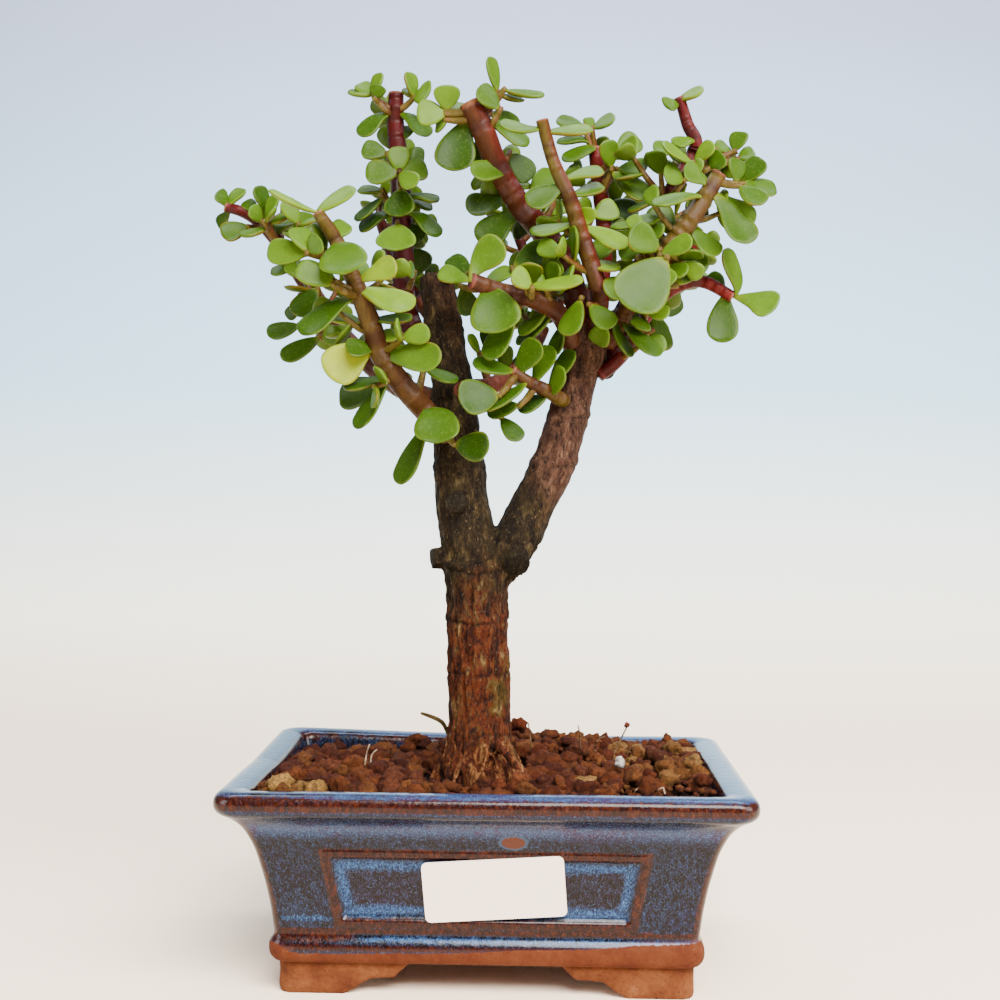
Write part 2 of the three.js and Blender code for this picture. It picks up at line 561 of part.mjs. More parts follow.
const BRANCHES = {
  branch_left_low: {
    stem: [
      [-17, -9, 203, 4], [-35, 0, 209, 4], [-56, 4, 227, 3.7], [-69, 5, 245, 3.2], [-83, 4, 265, 2.6],
      [-92, 3, 273, 2.2], [-101, 2, 276, 1.8],
    ],
    leaves: [
      [-100, 2, 277, -104, 0, 281, 8, 48], [-100, 2, 277, -95, 4, 284, 9, 45],
      [-91, -2, 268, -101, -5, 264, 9, 15], [-84, -4, 267, -92, -9, 261, 8.5, 50],
      [-86, -4, 269, -90, -7, 274, 8, 50], [-84, -5, 269, -81, -2, 280, 8, 45],
      [-84, -8, 268, -79, -12, 273, 7.5, 70], [-83, -5, 268, -74, -3, 273, 8, 55],
      [-81, 0, 267, -78, 9, 272, 9, 30], [-71, -6, 231, -83, -9, 227, 8, 25],
      [-64, -3, 227, -78, -7, 218, 9, 25], [-74, 2, 254, -84, 2, 251, 7.5, 50],
      [-72, -2, 240, -77, 0, 234, 6, 20], [-65, -4, 245, -73, -7, 234, 10, 15],
      [-100, 4, 274, -105, 8, 270, 6, 20], [-89, 0, 274, -94, 3, 279, 6, 20],
      [-85, 2, 274, -91, 5, 282, 8, 30],
    ],
    shoots: [
      [0.9, -6, 12, 12, 2, 12, 20], [1.5, -8, -12, 10, 2, 12, 80], [2.3, -10, -8, 16, 3, 12, 10],
      [2.6, 4, 13, 13, 2, 12, 50], [3.4, 3, -12, 14, 3, 11, 30], [3.8, -2, 13, 12, 2, 11, 70],
      [4.5, 2, 12, 2, 2, 9, 60], [2.1, -4, 14, 2, 2, 12, 35],
    ],
  },
  branch_left_front: {
    stem: [
      [-13, -14, 188, 3.9], [-20, -24, 195, 4], [-30, -30, 206, 4], [-38, -33, 217, 3.8],
      [-42, -34, 229, 3.6], [-48, -35, 244, 3], [-54, -36, 257, 2.6], [-60, -37, 266, 2.1],
    ],
    leaves: [
      [-61, -37, 266, -77, -40, 273, 8, 72], [-61, -37, 266, -47, -34, 275, 10, 48],
      [-62, -42, 251, -77, -40, 252, 10, 10], [-62, -44, 251, -67, -41, 260, 9, 40],
      [-62, -44, 251, -57, -46, 255, 9, 20], [-56, -37, 257, -50, -33, 263, 8.5, 20],
      [-53, -44, 240, -66, -44, 246, 9.5, 20], [-53, -40, 242, -67, -32, 250, 10, 60],
      [-51, -38, 257, -49, -53, 244, 17.5, 0], [-43, -36, 244, -32, -38, 248, 9.5, 15],
      [-44, -34, 244, -48, -29, 250, 8, 35], [-45, -36, 240, -26, -42, 232, 13, 42],
      [-50, -36, 237, -65, -41, 223, 12, 38], [-45, -32, 228, -57, -23, 232, 10, 60],
      [-41, -33, 230, -27, -36, 229, 10, 62], [-40, -34, 222, -33, -30, 225, 8, 40],
      [-41, -35, 219, -50, -39, 219, 9, 35], [-43, -33, 221, -56, -39, 210, 15.5, 5],
      [-37, -34, 218, -16, -42, 215, 11.5, 12], [-36, -31, 210, -51, -35, 205, 10, 60],
      [-37, -30, 209, -46, -35, 191, 11, 48], [-37, -26, 208, -55, -18, 203, 13, 25],
      [-19, -30, 202, -18, -39, 186, 16.5, 0], [-24, -24, 193, -32, -27, 172, 12, 45],
      [-13, -26, 187, 0, -34, 185, 11.5, 8], [-24, -24, 214, -12, -29, 208, 8, 55],
      [-32, -25, 225, -25, -21, 223, 8, 45],
    ],
    shoots: [
      [3.6, -12, 5, 6, 2, 12, 20], [4.6, 8, 8, 8, 2, 11, 10], [4.9, -12, -3, 4, 2, 11, 65],
      [3.1, 8, -7, 4, 1, 11, 0], [5.6, -9, 7, 3, 2, 10, 30], [2.4, -10, -2, -7, 2, 12, 60],
    ],
  },
  branch_left_upright: {
    stem: [
      [-19, -5, 217, 3.9], [-28, 3, 226, 4.3], [-34, 6, 240, 4.4], [-35, 7, 261, 4.1],
      [-36, 8, 287, 3.7], [-38, 8, 306, 3.3], [-38, 8, 320, 2.9],
    ],
    leaves: [
      [-42, 6, 313, -51, 3, 302, 8.5, 25], [-35, 6, 313, -25, 3, 302, 8.5, 35],
      [-46, 4, 318, -56, 4, 319, 7, 60], [-46, 4, 318, -52, 7, 323, 8, 35],
      [-46, 4, 318, -44, 6, 327, 6.5, 40], [-45, 2, 316, -43, 2, 321, 7, 20],
      [-31, 4, 317, -34, 9, 322, 6, 20], [-31, 4, 317, -33, 5, 327, 7.5, 50],
      [-31, 4, 317, -24, -1, 318, 12, 35], [-40, 0, 295, -50, 0, 297, 9, 20],
      [-34, 2, 296, -27, 5, 294, 9, 20], [-35, -5, 287, -36, -4, 297, 8.5, 10],
      [-35, -5, 287, -48, -5, 287, 10.5, 15], [-35, -5, 287, -25, -2, 289, 10.5, 20],
      [-35, -6, 287, -28, -14, 280, 8, 0], [-42, 3, 282, -52, 6, 283, 8, 55],
      [-35, -2, 282, -35, -7, 270, 12, 5], [-31, 3, 281, -21, 3, 278, 9, 60],
      [-42, 3, 280, -52, 1, 270, 9, 55], [-40, 2, 275, -51, 4, 267, 10, 50],
      [-31, 2, 276, -21, 0, 264, 9.5, 45], [-36, -2, 269, -36, -10, 257, 15.5, 0],
      [-32, 8, 262, -28, 16, 254, 11, 20], [-30, 0, 251, -32, -6, 252, 7, 30],
      [-32, 4, 270, -29, 8, 264, 8, 20], [-32, 6, 279, -24, 10, 277, 6, 45],
      [-35, 6, 302, -34, 10, 308, 7, 10],
    ],
    shoots: [
      [1.6, -7, 12, 8, 2, 12, 20], [2.4, 3, 13, 6, 2, 12, 70], [3.2, 3, 14, 7, 2, 12, 0],
      [3.9, -6, 12, 7, 2, 11, 45], [4.5, -2, 13, 4, 2, 11, 20], [5.2, -3, 10, 5, 2, 10, 60],
    ],
  },
  branch_left_back: {
    stem: [
      [-19, -3, 228, 3], [-24, 13, 236, 3], [-33, 26, 248, 2.8], [-42, 34, 264, 2.4], [-48, 38, 280, 2],
    ],
    leaves: [
    ],
    shoots: [
      [1.3, -10, 6, 4, 2, 12, 20], [1.8, 8, 10, 6, 2, 12, 0], [2.2, -5, 9, 7, 2, 12, 50],
      [2.7, 0, 13, 3, 2, 12, 30], [3.1, 2, 12, 4, 2, 11, 80], [3.4, 8, 6, 10, 2, 11, 10],
      [4, 3, 4, 6, 3, 10, 30], [3.7, 4, 12, 2, 2, 11, 0],
    ],
  },
  branch_cross: {
    stem: [
      [-13, -12, 205, 3.2], [-9, -20, 207, 3.2], [-1, -17, 208, 3.2], [8, -11, 214, 2.8],
      [14, -4, 222, 2.5], [18, 2, 231, 2.2],
    ],
    leaves: [
      [3, -18, 197, 10, -22, 188, 8, 30], [-5, -12, 220, -11, -9, 225, 6, 45],
    ],
    shoots: [
      [2.4, 3, 8, 6, 2, 11, 10], [3.2, 2, 9, 4, 2, 11, 40], [4.6, -6, 3, 8, 2, 11, 0],
    ],
  },
  branch_crown_tall: {
    stem: [
      [31, -5, 228, 4.2], [30, -8, 238, 4.3], [27, -8, 250, 4.5], [19, -8, 263, 4.6],
      [9, -12, 274, 4.3], [1, -15, 287, 4.1], [-4, -17, 299, 4.2], [-9, -18, 309, 3.9],
    ],
    leaves: [
      [-17, -18, 305, -28, -19, 305, 10.5, 10], [-17, -18, 306, -17, -20, 315, 10, 10],
      [-16, -16, 306, -13, -10, 311, 8, 20], [-17, -18, 303, -21, -14, 301, 8, 40],
      [-12, -14, 303, -15, -18, 284, 15.5, 5], [-7, -14, 297, -6, -8, 290, 8, 30],
      [6, -16, 286, -9, -20, 282, 9.5, 20], [1, -16, 313, -2, -17, 326, 7, 50],
      [3, -16, 314, 18, -18, 311, 8, 58], [2, -16, 312, 10, -10, 312, 7, 60],
      [2, -20, 306, -6, -23, 313, 9.5, 30], [-2, -14, 305, 12, -14, 294, 10, 45],
      [-2, -12, 307, 9, -2, 303, 11, 30], [5, -10, 293, 13, -6, 284, 11, 25],
      [3, -8, 275, -11, -10, 274, 9.5, 10], [7, -8, 272, -6, -11, 261, 13, 15],
      [8, -6, 270, 10, 2, 265, 8, 20], [13, -4, 280, 22, 1, 289, 11, 30],
      [18, -2, 272, 27, 3, 277, 11, 45],
    ],
    shoots: [
      [1.4, -12, 6, 2, 2, 12, 30], [2.2, -10, 10, 0, 2, 13, 0], [3, -6, 14, 8, 2, 12, 60],
      [3.3, 6, 8, 12, 2, 12, 30], [4.2, -4, 13, 9, 2, 12, 20], [4.7, 3, 12, -4, 2, 12, 70],
      [5.3, -1, 12, -5, 2, 12, 0], [5.6, 4, 12, -2, 2, 11, 40],
    ],
  },
  branch_crown_front: {
    stem: [
      [36, -11, 229, 3.2], [38, -19, 238, 3.3], [35, -25, 249, 3.2], [31, -27, 260, 3],
      [27, -29, 272, 2.7], [21, -31, 285, 2.3], [17, -32, 299, 2.2],
    ],
    leaves: [
      [15, -32, 295, 2, -34, 297, 9, 52], [19, -32, 295, 35, -30, 296, 9, 52],
      [24, -29, 277, 12, -34, 269, 9.5, 15], [27, -27, 281, 39, -24, 283, 9, 50],
      [28, -26, 274, 39, -23, 278, 9, 50], [27, -25, 264, 13, -29, 260, 8.5, 50],
      [33, -25, 264, 34, -27, 270, 7, 25], [33, -24, 264, 47, -29, 255, 9.5, 35],
      [35, -20, 268, 44, -17, 272, 9, 10], [30, -22, 252, 45, -26, 248, 9, 56],
      [34, -27, 236, 42, -31, 227, 9, 22], [36, -16, 253, 41, -12, 261, 9, 20],
      [40, -20, 230, 37, -16, 223, 9, 20],
    ],
    shoots: [
      [1.8, -11, -5, 6, 2, 11, 10], [2.7, -9, 5, 9, 2, 11, 60], [3.6, 9, 4, 8, 2, 11, 20],
    ],
  },
  branch_crown_back: {
    stem: [
      [33, 3, 229, 3.2], [35, 12, 240, 3.2], [40, 18, 254, 3.3], [41, 21, 270, 3.3], [39, 22, 288, 3.1],
      [37, 24, 303, 2.6],
    ],
    leaves: [
      [33, 22, 311, 22, 24, 314, 8, 40], [36, 22, 310, 34, 25, 315, 5, 20],
      [36, 22, 307, 22, 24, 305, 9, 60], [39, 20, 304, 24, 16, 299, 9.5, 35],
      [36, 22, 310, 45, 20, 314, 9, 48], [43, 14, 293, 41, 10, 303, 8.5, 20],
      [45, 18, 300, 54, 21, 306, 10.5, 10], [45, 16, 293, 57, 12, 293, 10, 35],
      [43, 14, 292, 58, 9, 282, 12, 35], [40, 16, 279, 54, 19, 277, 12, 30],
    ],
    shoots: [
      [1.5, -10, 8, 4, 2, 12, 10], [2.2, 8, 12, 4, 2, 12, 60], [2.8, -10, 8, 8, 2, 12, 30],
      [3.4, 7, 12, 7, 2, 12, 0], [3.8, -9, 7, 7, 2, 11, 70], [4.4, 5, 10, 6, 2, 11, 20],
    ],
  },
  branch_right_tall: {
    stem: [
      [40, 1, 228, 3], [48, 6, 240, 2.9], [56, 8, 262, 2.7], [64, 8, 282, 2.5], [74, 8, 299, 2.5],
      [71, 8, 308, 2.3], [68, 8, 318, 2],
    ],
    leaves: [
      [67, 8, 317, 77, 5, 320, 7.5, 48], [67, 8, 316, 62, 5, 314, 8, 25],
      [73, 6, 302, 65, 3, 299, 7.5, 40], [68, 6, 298, 58, 3, 299, 9, 40],
      [61, 4, 288, 62, 2, 298, 10, 50], [62, 10, 295, 55, 10, 294, 9, 40],
      [72, -2, 291, 60, -7, 297, 8, 50], [73, 2, 292, 80, -1, 299, 8, 40],
      [69, 0, 285, 61, -4, 288, 10, 25], [69, 0, 285, 76, -3, 292, 8, 50],
      [81, 6, 298, 86, 9, 300, 8, 30], [88, 5, 297, 91, 7, 305, 8, 30],
      [89, 4, 294, 95, 2, 297, 10, 35], [78, 2, 290, 83, -1, 295, 10, 30],
      [59, 8, 280, 48, 8, 277, 7, 50],
    ],
    shoots: [
      [1.3, 10, 6, 4, 2, 12, 20], [1.9, -6, 12, 8, 2, 12, 60], [2.4, 12, 2, 6, 2, 12, 0],
      [2.9, -9, -4, 12, 2, 12, 30], [3.2, 11, 9, 4, 2, 11, 80], [3.6, -2, 13, 1, 2, 11, 10],
      [4, 13, 5, 1, 3, 11, 40], [4.1, 9, 3, -7, 2, 11, 0],
    ],
  },
  branch_right_front: {
    stem: [
      [41, -6, 224, 3], [49, -13, 238, 3.3], [57, -20, 249, 3.6], [64, -24, 259, 3.7],
      [73, -25, 272, 3.2], [79, -26, 282, 2.7],
    ],
    leaves: [
      [72, -29, 275, 55, -33, 269, 9.5, 55], [73, -27, 279, 66, -30, 283, 9.5, 30],
      [80, -25, 273, 89, -31, 256, 12.5, 22], [80, -22, 274, 93, -18, 267, 10, 35],
      [86, -24, 278, 94, -30, 270, 9.5, 25], [87, -23, 279, 100, -20, 277, 9.5, 50],
      [85, -24, 279, 85, -23, 288, 9, 40], [87, -20, 280, 96, -16, 286, 9.5, 30],
      [58, -32, 254, 47, -36, 260, 11.5, 10], [58, -33, 252, 69, -37, 257, 8, 28],
      [70, -22, 263, 79, -25, 253, 9.5, 30], [64, -20, 262, 56, -18, 272, 11, 15],
      [60, -36, 251, 46, -42, 232, 20, 5], [56, -18, 267, 41, -20, 266, 7, 60],
      [52, -26, 255, 44, -28, 254, 9, 20], [51, -28, 252, 40, -32, 249, 8, 42],
      [64, -24, 243, 72, -22, 257, 14.5, 10], [47, -16, 230, 59, -22, 218, 9.5, 44],
      [42, -14, 232, 49, -18, 218, 8.5, 58],
    ],
    shoots: [
      [1.5, 6, -10, 4, 2, 11, 20], [2.1, -6, -9, 10, 2, 11, 60], [2.6, 5, -6, -6, 2, 11, 10],
      [3.1, -8, -2, 10, 2, 11, 30], [3.5, 11, 6, 4, 2, 11, 70], [1.3, -3, -10, 6, 2, 12, 30],
      [1.8, 2, -12, 2, 2, 12, 75],
    ],
  },
  branch_right_low: {
    stem: [
      [38, -5, 213, 2.6], [47, -4, 221, 2.6], [59, -7, 240, 2.5], [73, -9, 247, 2.4],
      [86, -10, 241, 2.1],
    ],
    leaves: [
      [90, -10, 241, 82, -14, 258, 9.5, 42], [91, -10, 241, 101, -15, 236, 13, 22],
      [83, -8, 242, 82, -11, 224, 12, 5], [84, -6, 246, 77, -2, 249, 9, 30],
    ],
    shoots: [
      [1.5, 2, -10, 4, 2, 11, 20], [2.2, -4, 9, 5, 2, 10, 60], [2.6, -2, 10, 2, 2, 10, 0],
      [0.9, 6, -8, 3, 1, 12, 0],
    ],
  },
  branch_middle_front: {
    stem: [
      [28, -9, 224, 3.5], [24, -18, 233, 3.5], [14, -25, 238, 3.4], [3, -29, 240, 3.2],
      [-7, -34, 243, 2.8],
    ],
    leaves: [
      [-8, -30, 247, 4, -33, 257, 12.5, 12], [-9, -30, 244, -19, -28, 247, 8, 26],
      [-1, -32, 242, 3, -38, 224, 18.5, 0], [8, -27, 235, -1, -33, 215, 10.5, 30],
      [12, -34, 241, 32, -39, 242, 10, 55], [14, -38, 240, 7, -41, 245, 9, 30],
      [13, -28, 243, 13, -38, 249, 10, 0], [7, -22, 249, 22, -16, 257, 14.5, 25],
      [-3, -24, 243, 7, -18, 250, 9, 45], [18, -22, 245, 24, -25, 252, 10, 15],
      [-11, -22, 243, -8, -18, 233, 8.5, 15], [2, -16, 228, -5, -12, 224, 9, 20],
      [19, -22, 233, 9, -20, 226, 7, 45], [20, -20, 231, 8, -16, 223, 7, 50],
      [-8, -22, 247, -16, -16, 254, 8.5, 20], [31, -26, 238, 26, -30, 224, 9.5, 30],
      [25, -14, 231, 21, -18, 218, 6.5, 30],
    ],
    shoots: [
      [1.3, -3, -8, 8, 2, 11, 30], [2.2, -2, 8, 8, 2, 11, 10], [3.3, 3, 9, 1, 2, 10, 20],
    ],
  },
  branch_right_back: {
    stem: [
      [40, 1, 219, 3], [50, 10, 229, 3], [59, 17, 244, 2.8], [68, 21, 257, 2.6], [78, 28, 268, 2.2],
    ],
    leaves: [
      [60, 14, 239, 63, 8, 223, 9.5, 25], [58, 6, 231, 48, 10, 240, 8, 30],
      [64, 16, 249, 68, 20, 238, 10, 25],
    ],
    shoots: [
      [1.3, 3, 8, 7, 2, 12, 20], [1.8, -7, 9, 4, 2, 12, 60], [2.4, 3, 8, 8, 2, 12, 0],
      [2.8, -3, 13, 6, 2, 12, 40], [3.2, 8, 8, 5, 2, 11, 10], [4, 0, 10, 2, 3, 11, 70],
      [1.5, 2, 12, -2, 2, 12, 30], [1.1, 4, -2, 10, 2, 12, 0],
    ],
  },
  branch_fork: {
    stem: [
      [26, -10, 203, 2.8], [20, -18, 206, 2.6], [13, -23, 209, 2.3], [7, -26, 213, 1.8],
    ],
    leaves: [
      [8, -24, 212, 17, -28, 223, 10.5, 25], [15, -22, 210, 21, -22, 222, 9.5, 30],
      [20, -17, 208, 27, -20, 222, 9.5, 35], [20, -18, 204, 27, -23, 214, 8.5, 40],
      [13, -27, 208, -4, -30, 198, 8.5, 52], [10, -24, 201, -2, -22, 198, 8, 30],
      [20, -18, 205, 9, -18, 199, 8, 40], [8, -28, 212, -7, -30, 215, 9.5, 50],
      [10, -19, 209, 1, -13, 213, 11, 10], [3, -30, 204, -12, -34, 201, 14, 15],
    ],
    shoots: [
    ],
  },
  branch_back_left: {
    stem: [
      [29, 3, 222, 2.9], [27, 19, 232, 2.8], [21, 32, 247, 2.5], [12, 40, 262, 2.2], [6, 44, 276, 1.9],
    ],
    leaves: [
    ],
    shoots: [
      [1.4, -10, 6, 2, 2, 12, 20], [1.9, 8, 12, 2, 2, 12, 60], [2.3, -4, 12, 4, 2, 12, 0],
      [2.8, 6, 12, 6, 2, 12, 30], [3.2, -12, 3, 6, 2, 11, 80], [3.5, 9, 5, 9, 2, 11, 10],
      [4, -3, 4, 10, 3, 11, 45],
    ],
  },
  branch_back_right: {
    stem: [
      [35, 4, 215, 2.8], [44, 22, 224, 2.7], [58, 36, 238, 2.5], [66, 46, 254, 2.1],
    ],
    leaves: [
    ],
    shoots: [
      [1.2, 2, 12, 8, 2, 12, 20], [1.6, -9, 9, -1, 2, 12, 60], [2, 6, 12, 6, 2, 12, 0],
      [2.5, -4, 3, 12, 2, 12, 30], [3, 7, 8, 10, 3, 11, 70], [2.4, 12, -6, 10, 2, 11, 40],
    ],
  },
};

// Room that the trunk takes in the layout: [from, to, radius]
const TRUNK_ROOM = [
  [[-3, -20, 64], [-4, -18, 90], 13],
  [[-4, -18, 90], [-5, -16, 145], 11.5],
  [[-5, -16, 140], [-11, -15, 160], 10.5],
  [[-11, -15, 160], [-12, -13, 178], 10],
  [[-12, -13, 178], [-14, -11, 203], 8.5],
  [[-14, -11, 203], [-17, -9, 225], 7.3],
  [[-17, -9, 225], [-21, -7, 249], 6.8],
  [[0, -16, 148], [10, -14, 160], 8.5],
  [[10, -14, 160], [22, -10, 180], 8],
  [[22, -10, 180], [28, -6, 199], 8],
  [[28, -6, 199], [32, -3, 215], 7.6],
  [[32, -3, 215], [33, -3, 228], 8.6],
];

// Layout of the leaves: hand-placed ones first, then the shoots, each kept clear of the rest

const WIDTH_SHARES = [
  [0, 0.16],
  [0.12, 0.32],
  [0.3, 0.72],
  [0.5, 0.96],
  [0.66, 1],
  [0.82, 0.89],
  [0.94, 0.56],
  [1, 0],
];

// Half the leaf's width at a share of its length, as a share of the widest half
function halfShare(share) {
  const s = Math.min(Math.max(share, 0), 1);
  const above = Math.max(1, WIDTH_SHARES.findIndex(([end]) => s <= end));
  const [a, u] = WIDTH_SHARES[above - 1];
  const [b, v] = WIDTH_SHARES[above];
  return u + ((v - u) * (s - a)) / (b - a);
}

// Height of the blade's middle surface: it arches along its length and cups across
function bend(leaf, s, x) {
  const arch = LEAF_ARCH * leaf.size * (1 - (2 * s - 1) ** 2);
  const cup = LEAF_CUP * leaf.width * x * x * Math.min(1, 2 * s);
  return cup - arch;
}

function bladePoint(leaf, s, x, lift) {
  const across = (leaf.width / 2) * halfShare(s) * x;
  const flat = add(leaf.base, add(mul(leaf.along, s * leaf.size), mul(leaf.side, across)));
  return add(flat, mul(leaf.face, bend(leaf, s, x) + lift));
}

function thicknessAt(s, x) {
  return LEAF_THICKNESS * Math.sqrt(Math.max(0.06, 1 - x * x)) * (s > 0.8 ? 0.75 : 1);
}

// Spots on the blade that are tested against the other pieces
const SAMPLES = [
  [0.3, 0], [0.45, -0.8], [0.45, 0], [0.45, 0.8], [0.65, -1], [0.65, -0.5], [0.65, 0], [0.65, 0.5],
  [0.65, 1], [0.85, -1], [0.85, -0.5], [0.85, 0], [0.85, 0.5], [0.85, 1], [1, 0],
];

// `rank` is 0 for a leaf set by hand or at a shoot's tip, and 1 or 2 for the pairs below it
function makeLeaf({ node, twig, byHand, rank, base, foot }, direction, facing, size, width) {
  const axis = unit(direction);
  const face = unit(sub(facing, mul(axis, dot(facing, axis))));
  const side = cross(axis, face);
  const leaf = { node, twig, byHand, rank, base, foot, along: axis, face, side, size, width };
  leaf.spots = SAMPLES.map(([s, x]) => ({ at: bladePoint(leaf, s, x, 0), thick: thicknessAt(s, x) }));
  leaf.middle = bladePoint(leaf, 0.55, 0, 0);
  leaf.reach = Math.max(size * 0.62, width * 0.6) + 1.5;
  return leaf;
}

function spotsTouch(leaf, other) {
  return leaf.spots.some(({ at, thick }) => {
    const offset = sub(at, other.base);
    const s = dot(offset, other.along) / other.size;
    if (s < 0.15 || s > 1 + CLEARANCE / other.size) {
      return false;
    }
    const half = (other.width / 2) * halfShare(s);
    const x = dot(offset, other.side);
    if (Math.abs(x) > half + (s < 0.97 ? CLEARANCE : 1.2)) {
      return false;
    }
    const share = Math.max(-1, Math.min(1, x / Math.max(0.1, half)));
    const height = dot(offset, other.face) - bend(other, Math.min(s, 1), share);
    return Math.abs(height) < (thick + thicknessAt(s, share)) / 2 + CLEARANCE;
  });
}

function leavesTouch(leaf, other) {
  if (leaf.twig && leaf.twig === other.twig && length(sub(leaf.base, other.base)) < 1.5) {
    return false;
  }
  if (length(sub(leaf.middle, other.middle)) > leaf.reach + other.reach) {
    return false;
  }
  return spotsTouch(leaf, other) || spotsTouch(other, leaf);
}

// Distance from a point to a stretch of stem, and the share of the stretch where it is nearest
function toStretch(point, from, to) {
  const run = sub(to, from);
  const t = Math.max(0, Math.min(1, dot(sub(point, from), run) / Math.max(1e-9, dot(run, run))));
  return [length(sub(point, mix(from, to, t))), t];
}

function touchesStem(leaf, stretches) {
  return stretches.some((stretch) => {
    if (stretch.twig === leaf.twig && stretch.node === leaf.node) {
      return false;
    }
    if (stretch.node === leaf.node && (leaf.byHand || stretch.twig === null)) {
      return false;
    }
    if (toStretch(leaf.middle, stretch.from, stretch.to)[0] > leaf.reach + stretch.radius + 1) {
      return false;
    }
    return leaf.spots.some(({ at, thick }) =>
      toStretch(at, stretch.from, stretch.to)[0] < stretch.radius + thick / 2 + CLEARANCE);
  });
}

// Ways to bend a leaf clear: [tilt, roll, size], in degrees and as a share
const BENDS = [
  [0, 0, 1], [9, 0, 1], [-9, 0, 1], [0, 12, 1], [0, -12, 1], [14, 14, 1], [-14, 14, 1], [14, -14, 1],
  [-14, -14, 1], [0, 26, 1], [0, -26, 1], [24, 0, 1], [-24, 0, 1], [30, 20, 1], [-30, -20, 1],
  [0, 0, 0.82], [12, 0, 0.82], [-12, 0, 0.82], [0, 16, 0.82], [0, -16, 0.82], [22, 18, 0.82],
  [-22, -18, 0.82],
];
// Ways to bend a shoot clear, as shifts of its tip
const SHIFTS = [
  [0, 0, 0], [0, 3, 2], [0, -3, 2], [3, 0, 2], [-3, 0, 2], [0, 5, -3], [4, 4, 0], [-4, 4, 0],
  [4, -4, 3], [-4, -4, 3],
];
const radians = (degrees) => (degrees * Math.PI) / 180;

